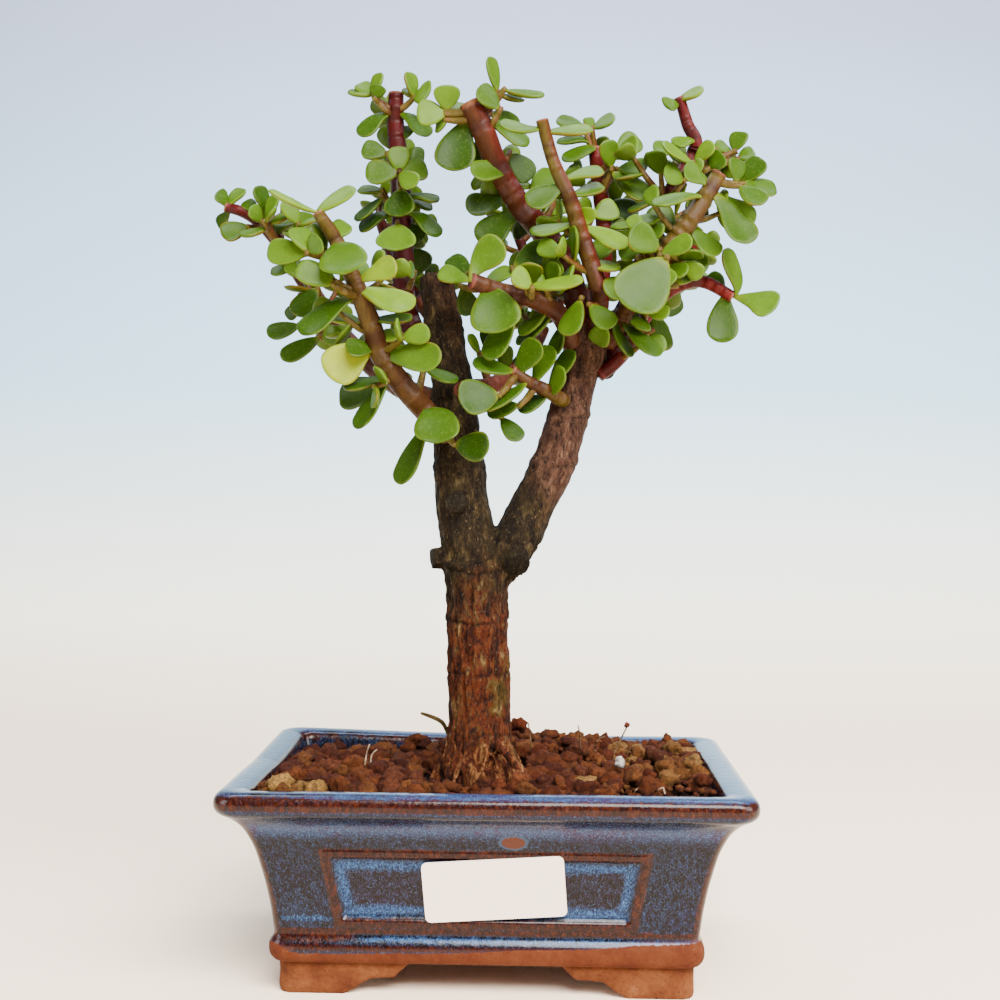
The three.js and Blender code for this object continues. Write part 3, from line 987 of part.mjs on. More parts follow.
class Layout {
  constructor() {
    this.draw = new Draw(LAYOUT_SEED);
    this.leaves = [];
    this.stretches = TRUNK_ROOM.map(([from, to, radius]) =>
      ({ node: "trunk", twig: null, from, to, radius }));
    for (const [node, { stem }] of Object.entries(BRANCHES)) {
      for (let half = 0; half < (stem.length - 1) * 2; half += 1) {
        const from = along(stem, half / 2);
        const to = along(stem, half / 2 + 0.5);
        const radius = (from[3] + to[3]) / 2;
        this.stretches.push({ node, twig: null, from: from.slice(0, 3), to: to.slice(0, 3), radius });
      }
    }
  }

  // Puts a leaf where it is clear, bending it a little if need be, or leaves it out
  settle(start, direction, facing, size, width) {
    const side = cross(direction, facing);
    for (const [tilt, roll, scale] of BENDS) {
      const t = radians(tilt);
      const r = radians(roll);
      const axis = add(mul(direction, Math.cos(t)), mul(facing, Math.sin(t)));
      const lifted = sub(mul(facing, Math.cos(t)), mul(direction, Math.sin(t)));
      const face = add(mul(lifted, Math.cos(r)), mul(side, Math.sin(r)));
      const leaf = makeLeaf(start, axis, face, size * scale, width * scale);
      if (!touchesStem(leaf, this.stretches) && !this.leaves.some((other) => leavesTouch(leaf, other))) {
        this.leaves.push(leaf);
        return true;
      }
    }
    return false;
  }

  // A leaf seen in the photograph: its base, its tip, its width and its turn about its length
  placeByHand(node, stem, [bx, by, bz, tx, ty, tz, width, turn]) {
    const base = [bx, by, bz];
    let nearest = null;
    for (let i = 0; i <= (stem.length - 1) * 8; i += 1) {
      const spot = along(stem, i / 8);
      const gap = length(sub(spot.slice(0, 3), base));
      if (nearest === null || gap < nearest.gap) {
        nearest = { gap, at: i / 8, radius: spot[3], axis: spot.slice(0, 3) };
      }
    }
    let twig = null;
    let foot = sub(nearest.axis, mul(unit(sub([tx, ty, tz], base)), LEAF_ROOT));
    if (nearest.gap > nearest.radius + STALK) {
      foot = null;
      twig = `${node} ${base}`;
      if (!this.stretches.some((stretch) => stretch.twig === twig)) {
        const root = along(stem, Math.max(0.6, nearest.at - Math.min(0.35, nearest.gap / 22)));
        const radius = 0.9 + 0.04 * nearest.gap;
        this.stretches.push({ node, twig, from: root.slice(0, 3), to: base, radius });
      }
    }
    const run = sub([tx, ty, tz], base);
    const direction = unit(run);
    const front = [0, -1, 0];
    const towards = unit(sub(front, mul(direction, dot(front, direction))));
    const across = cross(direction, towards);
    const upward = across[2] < 0 ? mul(across, -1) : across;
    const angle = radians(turn);
    const facing = add(mul(towards, Math.cos(angle)), mul(upward, Math.sin(angle)));
    this.settle({ node, twig, byHand: true, rank: 0, base, foot }, direction, facing, length(run), width);
  }

  shootIsBlocked(node, from, to) {
    const radius = TWIG_RADIUS;
    const byLeaf = this.leaves.some((leaf) => leaf.spots.some(({ at, thick }) => {
      const [gap, share] = toStretch(at, from, to);
      return share > 0.05 && gap < radius + thick / 2 + CLEARANCE / 2;
    }));
    return byLeaf || this.stretches.some((stretch) => {
      if (stretch.node === node) {
        return false;
      }
      return [3, 4, 5, 6, 7, 8].some((eighth) =>
        toStretch(mix(from, to, eighth / 8), stretch.from, stretch.to)[0]
          < stretch.radius + radius + 0.1 + CLEARANCE);
    });
  }

  // A shoot with pairs of leaves, each pair a quarter turn on from the last
  grow(node, stem, [at, dx, dy, dz, pairs, leafLength, turn], index) {
    const draws = Array.from({ length: pairs * 4 + 1 }, () => this.draw.next());
    const from = along(stem, at).slice(0, 3);
    const tip = add(from, [dx, dy, dz]);
    const to = SHIFTS.map((shift) => add(tip, shift)).find((end) => !this.shootIsBlocked(node, from, end));
    if (!to) {
      return;
    }
    const twig = `${node} shoot ${index}`;
    const stretch = { node, twig, from, to, radius: TWIG_RADIUS };
    this.stretches.push(stretch);
    const axis = unit(sub(to, from));
    const reference = Math.abs(axis[2]) < 0.9 ? [0, 0, 1] : [1, 0, 0];
    const across = unit(cross(axis, reference));
    const upright = cross(across, axis);
    let grown = 0;
    for (let pair = 0; pair < pairs; pair += 1) {
      const base = mix(from, to, 1 - (pair * 0.62) / pairs - (pair ? 0.04 : 0));
      for (let half = 0; half < 2; half += 1) {
        const first = draws[pair * 4 + half * 2];
        const second = draws[pair * 4 + half * 2 + 1];
        const angle = radians(turn + 90 * pair + 180 * half + (first - 0.5) * 24);
        const opening = radians([50, 66, 72][pair] + (second - 0.5) * 16);
        const growth = [0.85, 1, 1.05][pair] * (0.88 + 0.24 * draws[pairs * 4]) * (0.94 + 0.12 * first);
        const size = leafLength * growth;
        const out = add(mul(across, Math.cos(angle)), mul(upright, Math.sin(angle)));
        const direction = add(mul(axis, Math.cos(opening)), mul(out, Math.sin(opening)));
        const facing = sub(mul(axis, Math.sin(opening)), mul(out, Math.cos(opening)));
        const start = { node, twig, byHand: false, rank: pair, base, foot: null };
        if (this.settle(start, direction, facing, size, size * LEAF_BREADTH)) {
          grown += 1;
        }
      }
    }
    if (!grown) {
      this.stretches.splice(this.stretches.indexOf(stretch), 1);
    }
  }
}

function layOut() {
  const layout = new Layout();
  for (const [node, { stem, leaves }] of Object.entries(BRANCHES)) {
    leaves.forEach((row) => layout.placeByHand(node, stem, row));
  }
  for (const [node, { stem, shoots }] of Object.entries(BRANCHES)) {
    shoots.forEach((row, index) => layout.grow(node, stem, row, index));
  }
  return layout;
}

// A leaf's solid: a ring of edge points, and one point in the middle of each face
const EDGE = [[0.3, 1], [0.6, 1], [0.88, 1], [1, 0], [0.88, -1], [0.6, -1], [0.3, -1]];
const MIDDLE = 0.52;

function leafSolid(leaf) {
  const foot = leaf.foot ?? bladePoint(leaf, 0.02, 0, 0);
  const edge = [foot, ...EDGE.map(([s, x]) => bladePoint(leaf, s, x, 0))];
  const upper = bladePoint(leaf, MIDDLE, 0, LEAF_THICKNESS / 2);
  const lower = bladePoint(leaf, MIDDLE, 0, -LEAF_THICKNESS / 2);
  const faces = edge.flatMap((_, i) => {
    const next = (i + 1) % edge.length;
    return [[i, next, edge.length], [next, i, edge.length + 1]];
  });
  return solidFrom([...edge, upper, lower], faces);
}

function twigSolid({ from, to, radius }) {
  const end = add(to, unit(sub(to, from)));
  return stemSolid([[...from, radius], [...end, radius]], TWIG_SIDES, 1);
}

// A branch carries the leaves set by hand and the larger leaves at the shoots' tips
function makeBranch(node, layout, cutter) {
  const { stem } = BRANCHES[node];
  const shown = (leaf) => leaf.byHand || (leaf.rank === 0 && leaf.size > SMALL_LEAF);
  const leaves = layout.leaves.filter((leaf) => leaf.node === node && shown(leaf));
  const carries = (stretch) => leaves.some((leaf) => leaf.twig !== null && leaf.twig === stretch.twig);
  const twigs = layout.stretches.filter(carries);
  const grown = Manifold.union([
    stemSolid(stem, STEM_SIDES, 1),
    ...twigs.map(twigSolid),
    ...leaves.map(leafSolid),
  ]);
  return mainBody(grown.subtract(cutter));
}

// Label: a blank slip of paper stuck on the front panel, a little askew
function makeLabel() {
  const halfX = LABEL_WIDTH / 2 - LABEL_CORNER;
  const halfY = LABEL_HEIGHT / 2 - LABEL_CORNER;
  const shape = new THREE.Shape();
  shape.absarc(halfX, halfY, LABEL_CORNER, 0, Math.PI / 2);
  shape.absarc(-halfX, halfY, LABEL_CORNER, Math.PI / 2, Math.PI);
  shape.absarc(-halfX, -halfY, LABEL_CORNER, Math.PI, 1.5 * Math.PI);
  shape.absarc(halfX, -halfY, LABEL_CORNER, 1.5 * Math.PI, 2 * Math.PI);
  const settings = { depth: LABEL_THICKNESS, bevelEnabled: false, curveSegments: 3 };
  return new THREE.ExtrudeGeometry(shape, settings);
}

// Assembly

const SCREENS = { drain_screen_left: -DRAIN_OFFSET, drain_screen_right: DRAIN_OFFSET };

place("pot", makePot(), GLAZE);
for (const [name, offset] of Object.entries(SCREENS)) {
  const screen = place(name, makeScreen(), PLASTIC);
  screen.position.set(offset, 0, FLOOR_TOP + SEAT_GAP + SCREEN_THICKNESS / 2);
}
place("soil", makeSoil(Object.values(SCREENS)), CLAY_GRANULES);
place("trunk", makeTrunk(), BARK);

const layout = layOut();
const trunkRoom = makeTrunk(TRUNK_GAP);
for (const node of Object.keys(BRANCHES)) {
  place(node, makeBranch(node, layout, trunkRoom), LEAF_GREEN);
}

const label = new THREE.Mesh(makeLabel(), PAPER);
label.name = "label";
label.position.set(LABEL_SHIFT, LABEL_DROP, FRAME_RISE + SEAT_GAP);
label.rotation.set(LABEL_TILT, 0, LABEL_TURN);
const front = new THREE.Group();
front.applyMatrix4(wallPlane(0));
front.add(label);
tree.add(front);

export default tree;
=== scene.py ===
# %% [markdown]
# # A potted dwarf jade bonsai
#
# This lesson dresses a plain model of a small tree in a glazed tray. The plain model was made
# first, with the right sizes, and it is loaded here as a fixed frame. Each of its pieces is then
# either given a finish or replaced by a finer piece that stands in exactly the same place.
# Lengths are written in millimetres and become metres when a mesh is finished.

# %% Load the frame
import math
import random

import bmesh
import bpy
from mathutils import Matrix, Vector, kdtree, noise


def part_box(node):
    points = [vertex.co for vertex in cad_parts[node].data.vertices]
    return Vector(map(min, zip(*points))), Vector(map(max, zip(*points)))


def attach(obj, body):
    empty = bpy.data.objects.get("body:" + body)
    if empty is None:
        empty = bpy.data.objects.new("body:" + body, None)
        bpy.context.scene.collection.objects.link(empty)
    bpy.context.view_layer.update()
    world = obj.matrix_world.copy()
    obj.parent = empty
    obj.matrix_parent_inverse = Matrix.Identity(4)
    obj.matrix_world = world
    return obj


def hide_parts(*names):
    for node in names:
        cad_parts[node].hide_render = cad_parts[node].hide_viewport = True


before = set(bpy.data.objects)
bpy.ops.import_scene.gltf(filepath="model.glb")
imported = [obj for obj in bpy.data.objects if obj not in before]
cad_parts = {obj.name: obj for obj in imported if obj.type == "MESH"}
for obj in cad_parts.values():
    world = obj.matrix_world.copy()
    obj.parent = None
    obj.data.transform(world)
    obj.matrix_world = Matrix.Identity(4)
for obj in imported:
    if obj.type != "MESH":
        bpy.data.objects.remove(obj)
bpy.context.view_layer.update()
MM = 0.001
print("the frame's nodes:", ", ".join(sorted(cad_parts)))

# %% [markdown]
# ## Camera
#
# The picture was taken from just above the middle of the tree, half a metre away. A camera in
# Blender is set by its place, its turn and the focal length of its lens, with a 36 mm sensor.

# %% Camera
CAMERA_PLACE = Vector((0.0197, -0.5264, 0.1669))
CAMERA_YAW = 0.033
CAMERA_PITCH = 0.001
CAMERA_ROLL = 0.007
CAMERA_LENS = 51.42


def placed(name, data):
    """Makes an object of a mesh, a lamp or a camera and links it to the scene."""
    made = bpy.data.objects.new(name, data)
    bpy.context.scene.collection.objects.link(made)
    return made


camera = placed("camera", bpy.data.cameras.new("camera"))
camera.data.lens = CAMERA_LENS
camera.data.sensor_width = 36
camera.data.clip_start = 0.01
upright = Matrix.Rotation(CAMERA_YAW, 4, "Z") @ Matrix.Rotation(math.pi / 2 + CAMERA_PITCH, 4, "X")
camera.matrix_world = Matrix.Translation(CAMERA_PLACE) @ upright @ Matrix.Rotation(CAMERA_ROLL, 4, "Z")
bpy.context.scene.camera = camera
print("camera at", tuple(round(value, 3) for value in camera.location))

# %% [markdown]
# ## Finishes made of nodes
#
# A finish is a small network of nodes that ends in a Principled shader. The networks here all
# use the same few steps: a noise, a ramp that turns a number into a colour, a mix of two
# colours, and a bump. A little class keeps each of these steps on one line.

# %% A helper for finishes
class Finish:
    """One material, with short names for the node steps that the finishes share."""

    def __init__(self, name, roughness=0.5, specular=0.5):
        self.material = bpy.data.materials.new(name)
        self.material.use_nodes = True
        self.tree = self.material.node_tree
        self.shader = self.tree.nodes["Principled BSDF"]
        self.shader.inputs["Roughness"].default_value = roughness
        self.shader.inputs["Specular IOR Level"].default_value = specular

    def node(self, kind, inputs=None, **settings):
        made = self.tree.nodes.new("ShaderNode" + kind)
        for key, value in settings.items():
            setattr(made, key, value)
        for key, value in (inputs or {}).items():
            self.set(made.inputs[key], value)
        return made

    def set(self, socket, value):
        if isinstance(value, bpy.types.NodeSocket):
            self.tree.links.new(value, socket)
        elif socket.type == "RGBA" and not isinstance(value, (int, float)):
            socket.default_value = (*value, 1) if len(value) == 3 else value
        else:
            socket.default_value = value

    def place(self, upward=1):
        """Object coordinates in millimetres; below 1, `upward` makes a pattern taller than wide."""
        spot = self.node("TexCoord").outputs["Object"]
        stretch = (1 / MM, 1 / MM, upward / MM)
        return self.node("Mapping", {"Vector": spot, "Scale": stretch}).outputs["Vector"]

    def axis(self, vector, name):
        return self.node("SeparateXYZ", {"Vector": vector}).outputs[name]

    def attribute(self, name, output="Fac"):
        return self.node("Attribute", attribute_name=name).outputs[output]

    def noise(self, vector, scale, detail=3.0, roughness=0.55, distortion=0.0):
        inputs = {"Vector": vector, "Scale": scale, "Detail": detail, "Roughness": roughness}
        return self.node("TexNoise", {**inputs, "Distortion": distortion}).outputs["Fac"]

    def sum(self, operation, first, second=0.0, clamp=False):
        made = self.node("Math", {0: first, 1: second}, operation=operation)
        made.use_clamp = clamp
        return made.outputs[0]

    def times(self, first, second):
        return self.sum("MULTIPLY", first, second)

    def plus(self, first, second):
        return self.sum("ADD", first, second)

    def swing(self, pattern, reach):
        """A noise turned into a number that swings to both sides of zero."""
        return self.times(self.sum("SUBTRACT", pattern, 0.5), reach)

    def level(self, value, low, high, to_low=0.0, to_high=1.0):
        """A number that goes from to_low to to_high as the value goes from low to high."""
        made = self.node("MapRange", {"Value": value, "From Min": low, "From Max": high,
                                      "To Min": to_low, "To Max": to_high})
        made.interpolation_type = "SMOOTHSTEP"
        return made.outputs["Result"]

    def ramp(self, value, *stops):
        """Turns a value into a colour, by stops of a position and a colour from 0 to 255."""
        made = self.node("ValToRGB", {"Fac": value})
        elements = made.color_ramp.elements
        while len(elements) < len(stops):
            elements.new(0.5)
        for element, (position, *colour) in zip(elements, stops):
            element.position = position
            element.color = (*tone(*colour), 1)
        return made.outputs["Color"]

    def mix(self, share, first, second):
        return self.node("Mix", {0: share, 6: first, 7: second}, data_type="RGBA").outputs[2]

    def over(self, colour, other, value, low, high, to_low=0.0, to_high=1.0):
        """Lays another colour over the first, by as much as `level` makes of the value."""
        return self.mix(self.level(value, low, high, to_low, to_high), colour, other)

    def bump(self, height, distance, strength=1.0, under=None):
        inputs = {"Height": height, "Distance": distance * MM, "Strength": strength}
        if under is not None:
            inputs["Normal"] = under
        return self.node("Bump", inputs).outputs["Normal"]

    def wear(self, **sockets):
        """Joins values to the shader's sockets, named with underscores for spaces."""
        for key, value in sockets.items():
            self.set(self.shader.inputs[key.replace("_", " ")], value)
        return self.material


def tone(red, green, blue):
    """A colour as seen on a screen, from 0 to 255, as the linear numbers that nodes use."""
    return tuple((value / 255) ** 2.2 for value in (red, green, blue))


print("linear mid grey:", tuple(round(value, 3) for value in tone(128, 128, 128)))

# %% [markdown]
# ## Finished pieces
#
# Every piece is shaped in a bmesh, which is Blender's editable mesh. When it is ready, it is
# written to an object that sits at the origin, unturned and unscaled, and rides with the pot,
# and the piece of the frame that it stands for is hidden.

# %% A helper for finished pieces
def as_mesh(bm, name):
    mesh = bpy.data.meshes.new(name)
    bm.to_mesh(mesh)
    bm.free()
    return mesh


def add_copy(bm, mesh):
    """Adds a mesh to the bmesh and gives back only the vertices that came with it."""
    before = len(bm.verts)
    bm.from_mesh(mesh)
    bm.verts.ensure_lookup_table()
    return bm.verts[before:]


def verts_in(geometry):
    return [item for item in geometry if isinstance(item, bmesh.types.BMVert)]


def face_outward(bm):
    bmesh.ops.recalc_face_normals(bm, faces=bm.faces)


def number_layers(bm, *names):
    """Layers that keep a number on each point of the bmesh, by name."""
    return {name: bm.verts.layers.float.new(name) for name in names}


def finished(name, bm, material, slot, *stands_for, smooth=True, subdivide=0):
    """Makes the bmesh an object in metres, smooth shaded, that rides on the root."""
    bmesh.ops.scale(bm, vec=(MM, MM, MM), verts=bm.verts)
    mesh = as_mesh(bm, name)
    if smooth:
        mesh.shade_smooth()
    mesh.materials.append(material)
    piece = placed(name, mesh)
    if subdivide:
        modifier = piece.modifiers.new("subdivide", "SUBSURF")
        modifier.levels = subdivide
        modifier.render_levels = subdivide
    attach(piece, "root")
    if stands_for:
        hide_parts(*stands_for)
    print(f"{name}: {len(mesh.polygons)} faces")
    return piece


# %% [markdown]
# ## Floor and light
#
# The object stands on a plain pale sheet of paper that curves up behind it and turns from warm
# to cool with height. One wide lamp above the front right gives the soft gleam on leaves and
# glaze, two weaker ones fill the sides, and the fourth lights only the sheet behind. The world
# around them is pale and dim.

# %% Floor and light
FLOOR_REACH = 1.6
CURVE_START = 0.5
CURVE_RISE = 1.1
TREE_MIDDLE = (0, 0, 0.15)
SHEET_BEHIND = (0, 1.2, 0.35)
# Place, target, size, power and colour of each lamp
LAMPS = {
    "lamp_above": ((0.35, -0.85, 0.95), TREE_MIDDLE, (0.9, 0.6), 64, (1, 0.985, 0.96)),
    "lamp_left": ((-1.1, -0.6, 0.5), TREE_MIDDLE, (0.6, 0.8), 13, (0.95, 0.98, 1)),
    "lamp_right": ((1.0, -0.5, 0.6), TREE_MIDDLE, (0.6, 0.8), 22, (1, 0.98, 0.95)),
    "lamp_back": ((0, 0.45, 1.5), SHEET_BEHIND, (1.6, 0.5), 44, (0.86, 0.93, 1))}
WORLD_COLOUR = (0.86, 0.91, 1.0, 1)
WORLD_STRENGTH = 0.28

bm = bmesh.new()
bmesh.ops.create_grid(bm, x_segments=1, y_segments=40, size=FLOOR_REACH)
for vert in bm.verts:
    vert.co.x *= 2
    vert.co.z = CURVE_RISE * max(0.0, vert.co.y - CURVE_START) ** 2
floor_mesh = as_mesh(bm, "floor")
floor_mesh.shade_smooth()
paper = Finish("pale_floor", roughness=0.9, specular=0.1)
height_in_metres = paper.times(paper.axis(paper.place(), "Z"), MM)
sheet = paper.ramp(height_in_metres, (0, 255, 228, 200), (0.06, 255, 248, 228), (0.3, 172, 212, 234),
                   (0.8, 160, 170, 196))
floor_mesh.materials.append(paper.wear(Base_Color=sheet))
placed("floor", floor_mesh)

for name, (place, target, size, power, colour) in LAMPS.items():
    light = bpy.data.lights.new(name, "AREA")
    light.shape = "RECTANGLE"
    light.size, light.size_y = size
    light.energy = power
    light.color = colour
    lamp = placed(name, light)
    lamp.location = place
    lamp.rotation_euler = (Vector(target) - Vector(place)).to_track_quat("-Z", "Y").to_euler()

world = bpy.data.worlds.new("pale_world")
bpy.context.scene.world = world
world.use_nodes = True
background = world.node_tree.nodes["Background"]
background.inputs["Color"].default_value = WORLD_COLOUR
background.inputs["Strength"].default_value = WORLD_STRENGTH
print(len(LAMPS), "lamps and a pale world")

# %% [markdown]
# ## Where the leaves grow
#
# The frame's branches were laid out by a rule, and the same rule is repeated here, so that each
# fine leaf grows exactly where its plain one does. A leaf that the picture shows is given one by one.
# The rest grow in pairs on short shoots, each pair a quarter turn on from the last, as on the
# real plant. A leaf that would cut through another is bent a little, or left out.

# %% Vectors and a seeded draw
def add(a, b):
    return (a[0] + b[0], a[1] + b[1], a[2] + b[2])


def sub(a, b):
    return (a[0] - b[0], a[1] - b[1], a[2] - b[2])


def mul(a, k):
    return (a[0] * k, a[1] * k, a[2] * k)


def dot(a, b):
    return a[0] * b[0] + a[1] * b[1] + a[2] * b[2]


def cross(a, b):
    return (a[1] * b[2] - a[2] * b[1], a[2] * b[0] - a[0] * b[2], a[0] * b[1] - a[1] * b[0])


def length(a):
    return math.sqrt(dot(a, a))


def unit(a):
    return mul(a, 1 / length(a))


def mix(a, b, t):
    return add(mul(a, 1 - t), mul(b, t))


def clamp(value, low=0, high=1):
    return max(low, min(high, value))


class Draw:
    """A seeded draw of numbers from 0 to 1."""

    def __init__(self, seed):
        self.state = seed

    def next(self):
        self.state = (self.state * 1664525 + 1013904223) % 4294967296
        return self.state / 4294967296


def along(points, at):
    """Smooth curve through points of any number of values; `at` counts points from 0."""
    i = min(math.floor(at), len(points) - 2)
    t = at - i
    before = points[max(i - 1, 0)]
    after = points[min(i + 2, len(points) - 1)]
    return tuple(
        0.5 * (2 * b + (c - a) * t + (2 * a - 5 * b + 4 * c - d) * t * t
               + (3 * b - a - 3 * c + d) * t * t * t)
        for a, b, c, d in zip(before, points[i], points[i + 1], after))


print("first draws:", [round(Draw(20).next(), 3), round(Draw(21).next(), 3)])

# %% A leaf's outline and its bend
LEAF_THICKNESS = 2
LEAF_BREADTH = 0.74
LEAF_ARCH = 0.03
LEAF_CUP = 0.096
LEAF_ROOT = 1.2
STALK = 3.5
TWIG_RADIUS = 1.2
CLEARANCE = 0.55
LAYOUT_SEED = 20
WIDTH_SHARES = [
    (0, 0.16), (0.12, 0.32), (0.3, 0.72), (0.5, 0.96), (0.66, 1), (0.82, 0.89), (0.94, 0.56), (1, 0)]


def half_share(share):
    """Half the leaf's width at a share of its length, as a share of the widest half."""
    s = clamp(share)
    above = max(1, next(i for i, (end, _) in enumerate(WIDTH_SHARES) if s <= end))
    a, u = WIDTH_SHARES[above - 1]
    b, v = WIDTH_SHARES[above]
    return u + ((v - u) * (s - a)) / (b - a)


class Leaf:
    """A leaf's place: base, the ways that it points and faces, its length and its width."""

    def __init__(self, start, direction, facing, size, width):
        self.node, self.twig, self.by_hand, self.base, self.foot, self.tone = start
        self.along = unit(direction)
        self.face = unit(sub(facing, mul(self.along, dot(facing, self.along))))
        self.side = cross(self.along, self.face)
        self.size = size
        self.width = width
        self.spots = [(self.point(s, x), thickness_at(s, x)) for s, x in SAMPLES]
        self.middle = self.point(0.55, 0)
        self.reach = max(size * 0.62, width * 0.6) + 1.5

    def bend(self, s, x):
        """Height of the blade's middle surface: it arches along and cups across."""
        arch = LEAF_ARCH * self.size * (1 - (2 * s - 1) ** 2)
        cup = LEAF_CUP * self.width * x * x * min(1, 2 * s)
        return cup - arch

    def point(self, s, x, lift=0.0):
        across = (self.width / 2) * half_share(s) * x
        flat = add(self.base, add(mul(self.along, s * self.size), mul(self.side, across)))
        return add(flat, mul(self.face, self.bend(s, x) + lift))


def thickness_at(s, x):
    return LEAF_THICKNESS * math.sqrt(max(0.06, 1 - x * x)) * (0.75 if s > 0.8 else 1)


SAMPLES = [
    (0.3, 0), (0.45, -0.8), (0.45, 0), (0.45, 0.8), (0.65, -1), (0.65, -0.5), (0.65, 0),
    (0.65, 0.5), (0.65, 1), (0.85, -1), (0.85, -0.5), (0.85, 0), (0.85, 0.5), (0.85, 1), (1, 0)]
print("half width at 0.66 of a leaf's length, as a share of the widest:", half_share(0.66))

# %% Tests that keep the leaves apart
def spots_touch(leaf, other):
    for at, thick in leaf.spots:
        offset = sub(at, other.base)
        s = dot(offset, other.along) / other.size
        if s < 0.15 or s > 1 + CLEARANCE / other.size:
            continue
        half = (other.width / 2) * half_share(s)
        x = dot(offset, other.side)
        if abs(x) > half + (CLEARANCE if s < 0.97 else 1.2):
            continue
        share = clamp(x / max(0.1, half), -1)
        height = dot(offset, other.face) - other.bend(min(s, 1), share)
        if abs(height) < (thick + thickness_at(s, share)) / 2 + CLEARANCE:
            return True
    return False


def leaves_touch(leaf, other):
    if leaf.twig and leaf.twig == other.twig and length(sub(leaf.base, other.base)) < 1.5:
        return False
    if length(sub(leaf.middle, other.middle)) > leaf.reach + other.reach:
        return False
    return spots_touch(leaf, other) or spots_touch(other, leaf)


def to_stretch(point, start, end):
    """Distance from a point to a stretch of stem, and the share where it is nearest."""
    run = sub(end, start)
    t = clamp(dot(sub(point, start), run) / max(1e-9, dot(run, run)))
    return length(sub(point, mix(start, end, t))), t


class Stretch:
    """A straight stretch of trunk, stem or twig."""

    def __init__(self, node, twig, start, end, radius):
        self.node, self.twig, self.start, self.end, self.radius = node, twig, start, end, radius


def touches_stem(leaf, stretches):
    for stretch in stretches:
        if stretch.twig == leaf.twig and stretch.node == leaf.node:
            continue
        if stretch.node == leaf.node and (leaf.by_hand or stretch.twig is None):
            continue
        if to_stretch(leaf.middle, stretch.start, stretch.end)[0] > leaf.reach + stretch.radius + 1:
            continue
        if any(to_stretch(at, stretch.start, stretch.end)[0] < stretch.radius + thick / 2 + CLEARANCE
               for at, thick in leaf.spots):
            return True
    return False


print("distance from (0, 3, 4) to a stretch along X:", to_stretch((0, 3, 4), (-1, 0, 0), (1, 0, 0))[0])

# %% The rule that lays out a branch
BENDS = [
    (0, 0, 1), (9, 0, 1), (-9, 0, 1), (0, 12, 1), (0, -12, 1), (14, 14, 1), (-14, 14, 1), (14, -14, 1),
    (-14, -14, 1), (0, 26, 1), (0, -26, 1), (24, 0, 1), (-24, 0, 1), (30, 20, 1), (-30, -20, 1),
    (0, 0, 0.82), (12, 0, 0.82), (-12, 0, 0.82), (0, 16, 0.82), (0, -16, 0.82), (22, 18, 0.82),
    (-22, -18, 0.82)]
SHIFTS = [
    (0, 0, 0), (0, 3, 2), (0, -3, 2), (3, 0, 2), (-3, 0, 2), (0, 5, -3), (4, 4, 0), (-4, 4, 0),
    (4, -4, 3), (-4, -4, 3)]


FRONT = (0, -1, 0)
QUARTER = 90
# For the first, second and third pair of a shoot: how far its leaves open, and how large they are
PAIR_OPENINGS = (50, 66, 72)
PAIR_SIZES = (0.85, 1, 1.05)


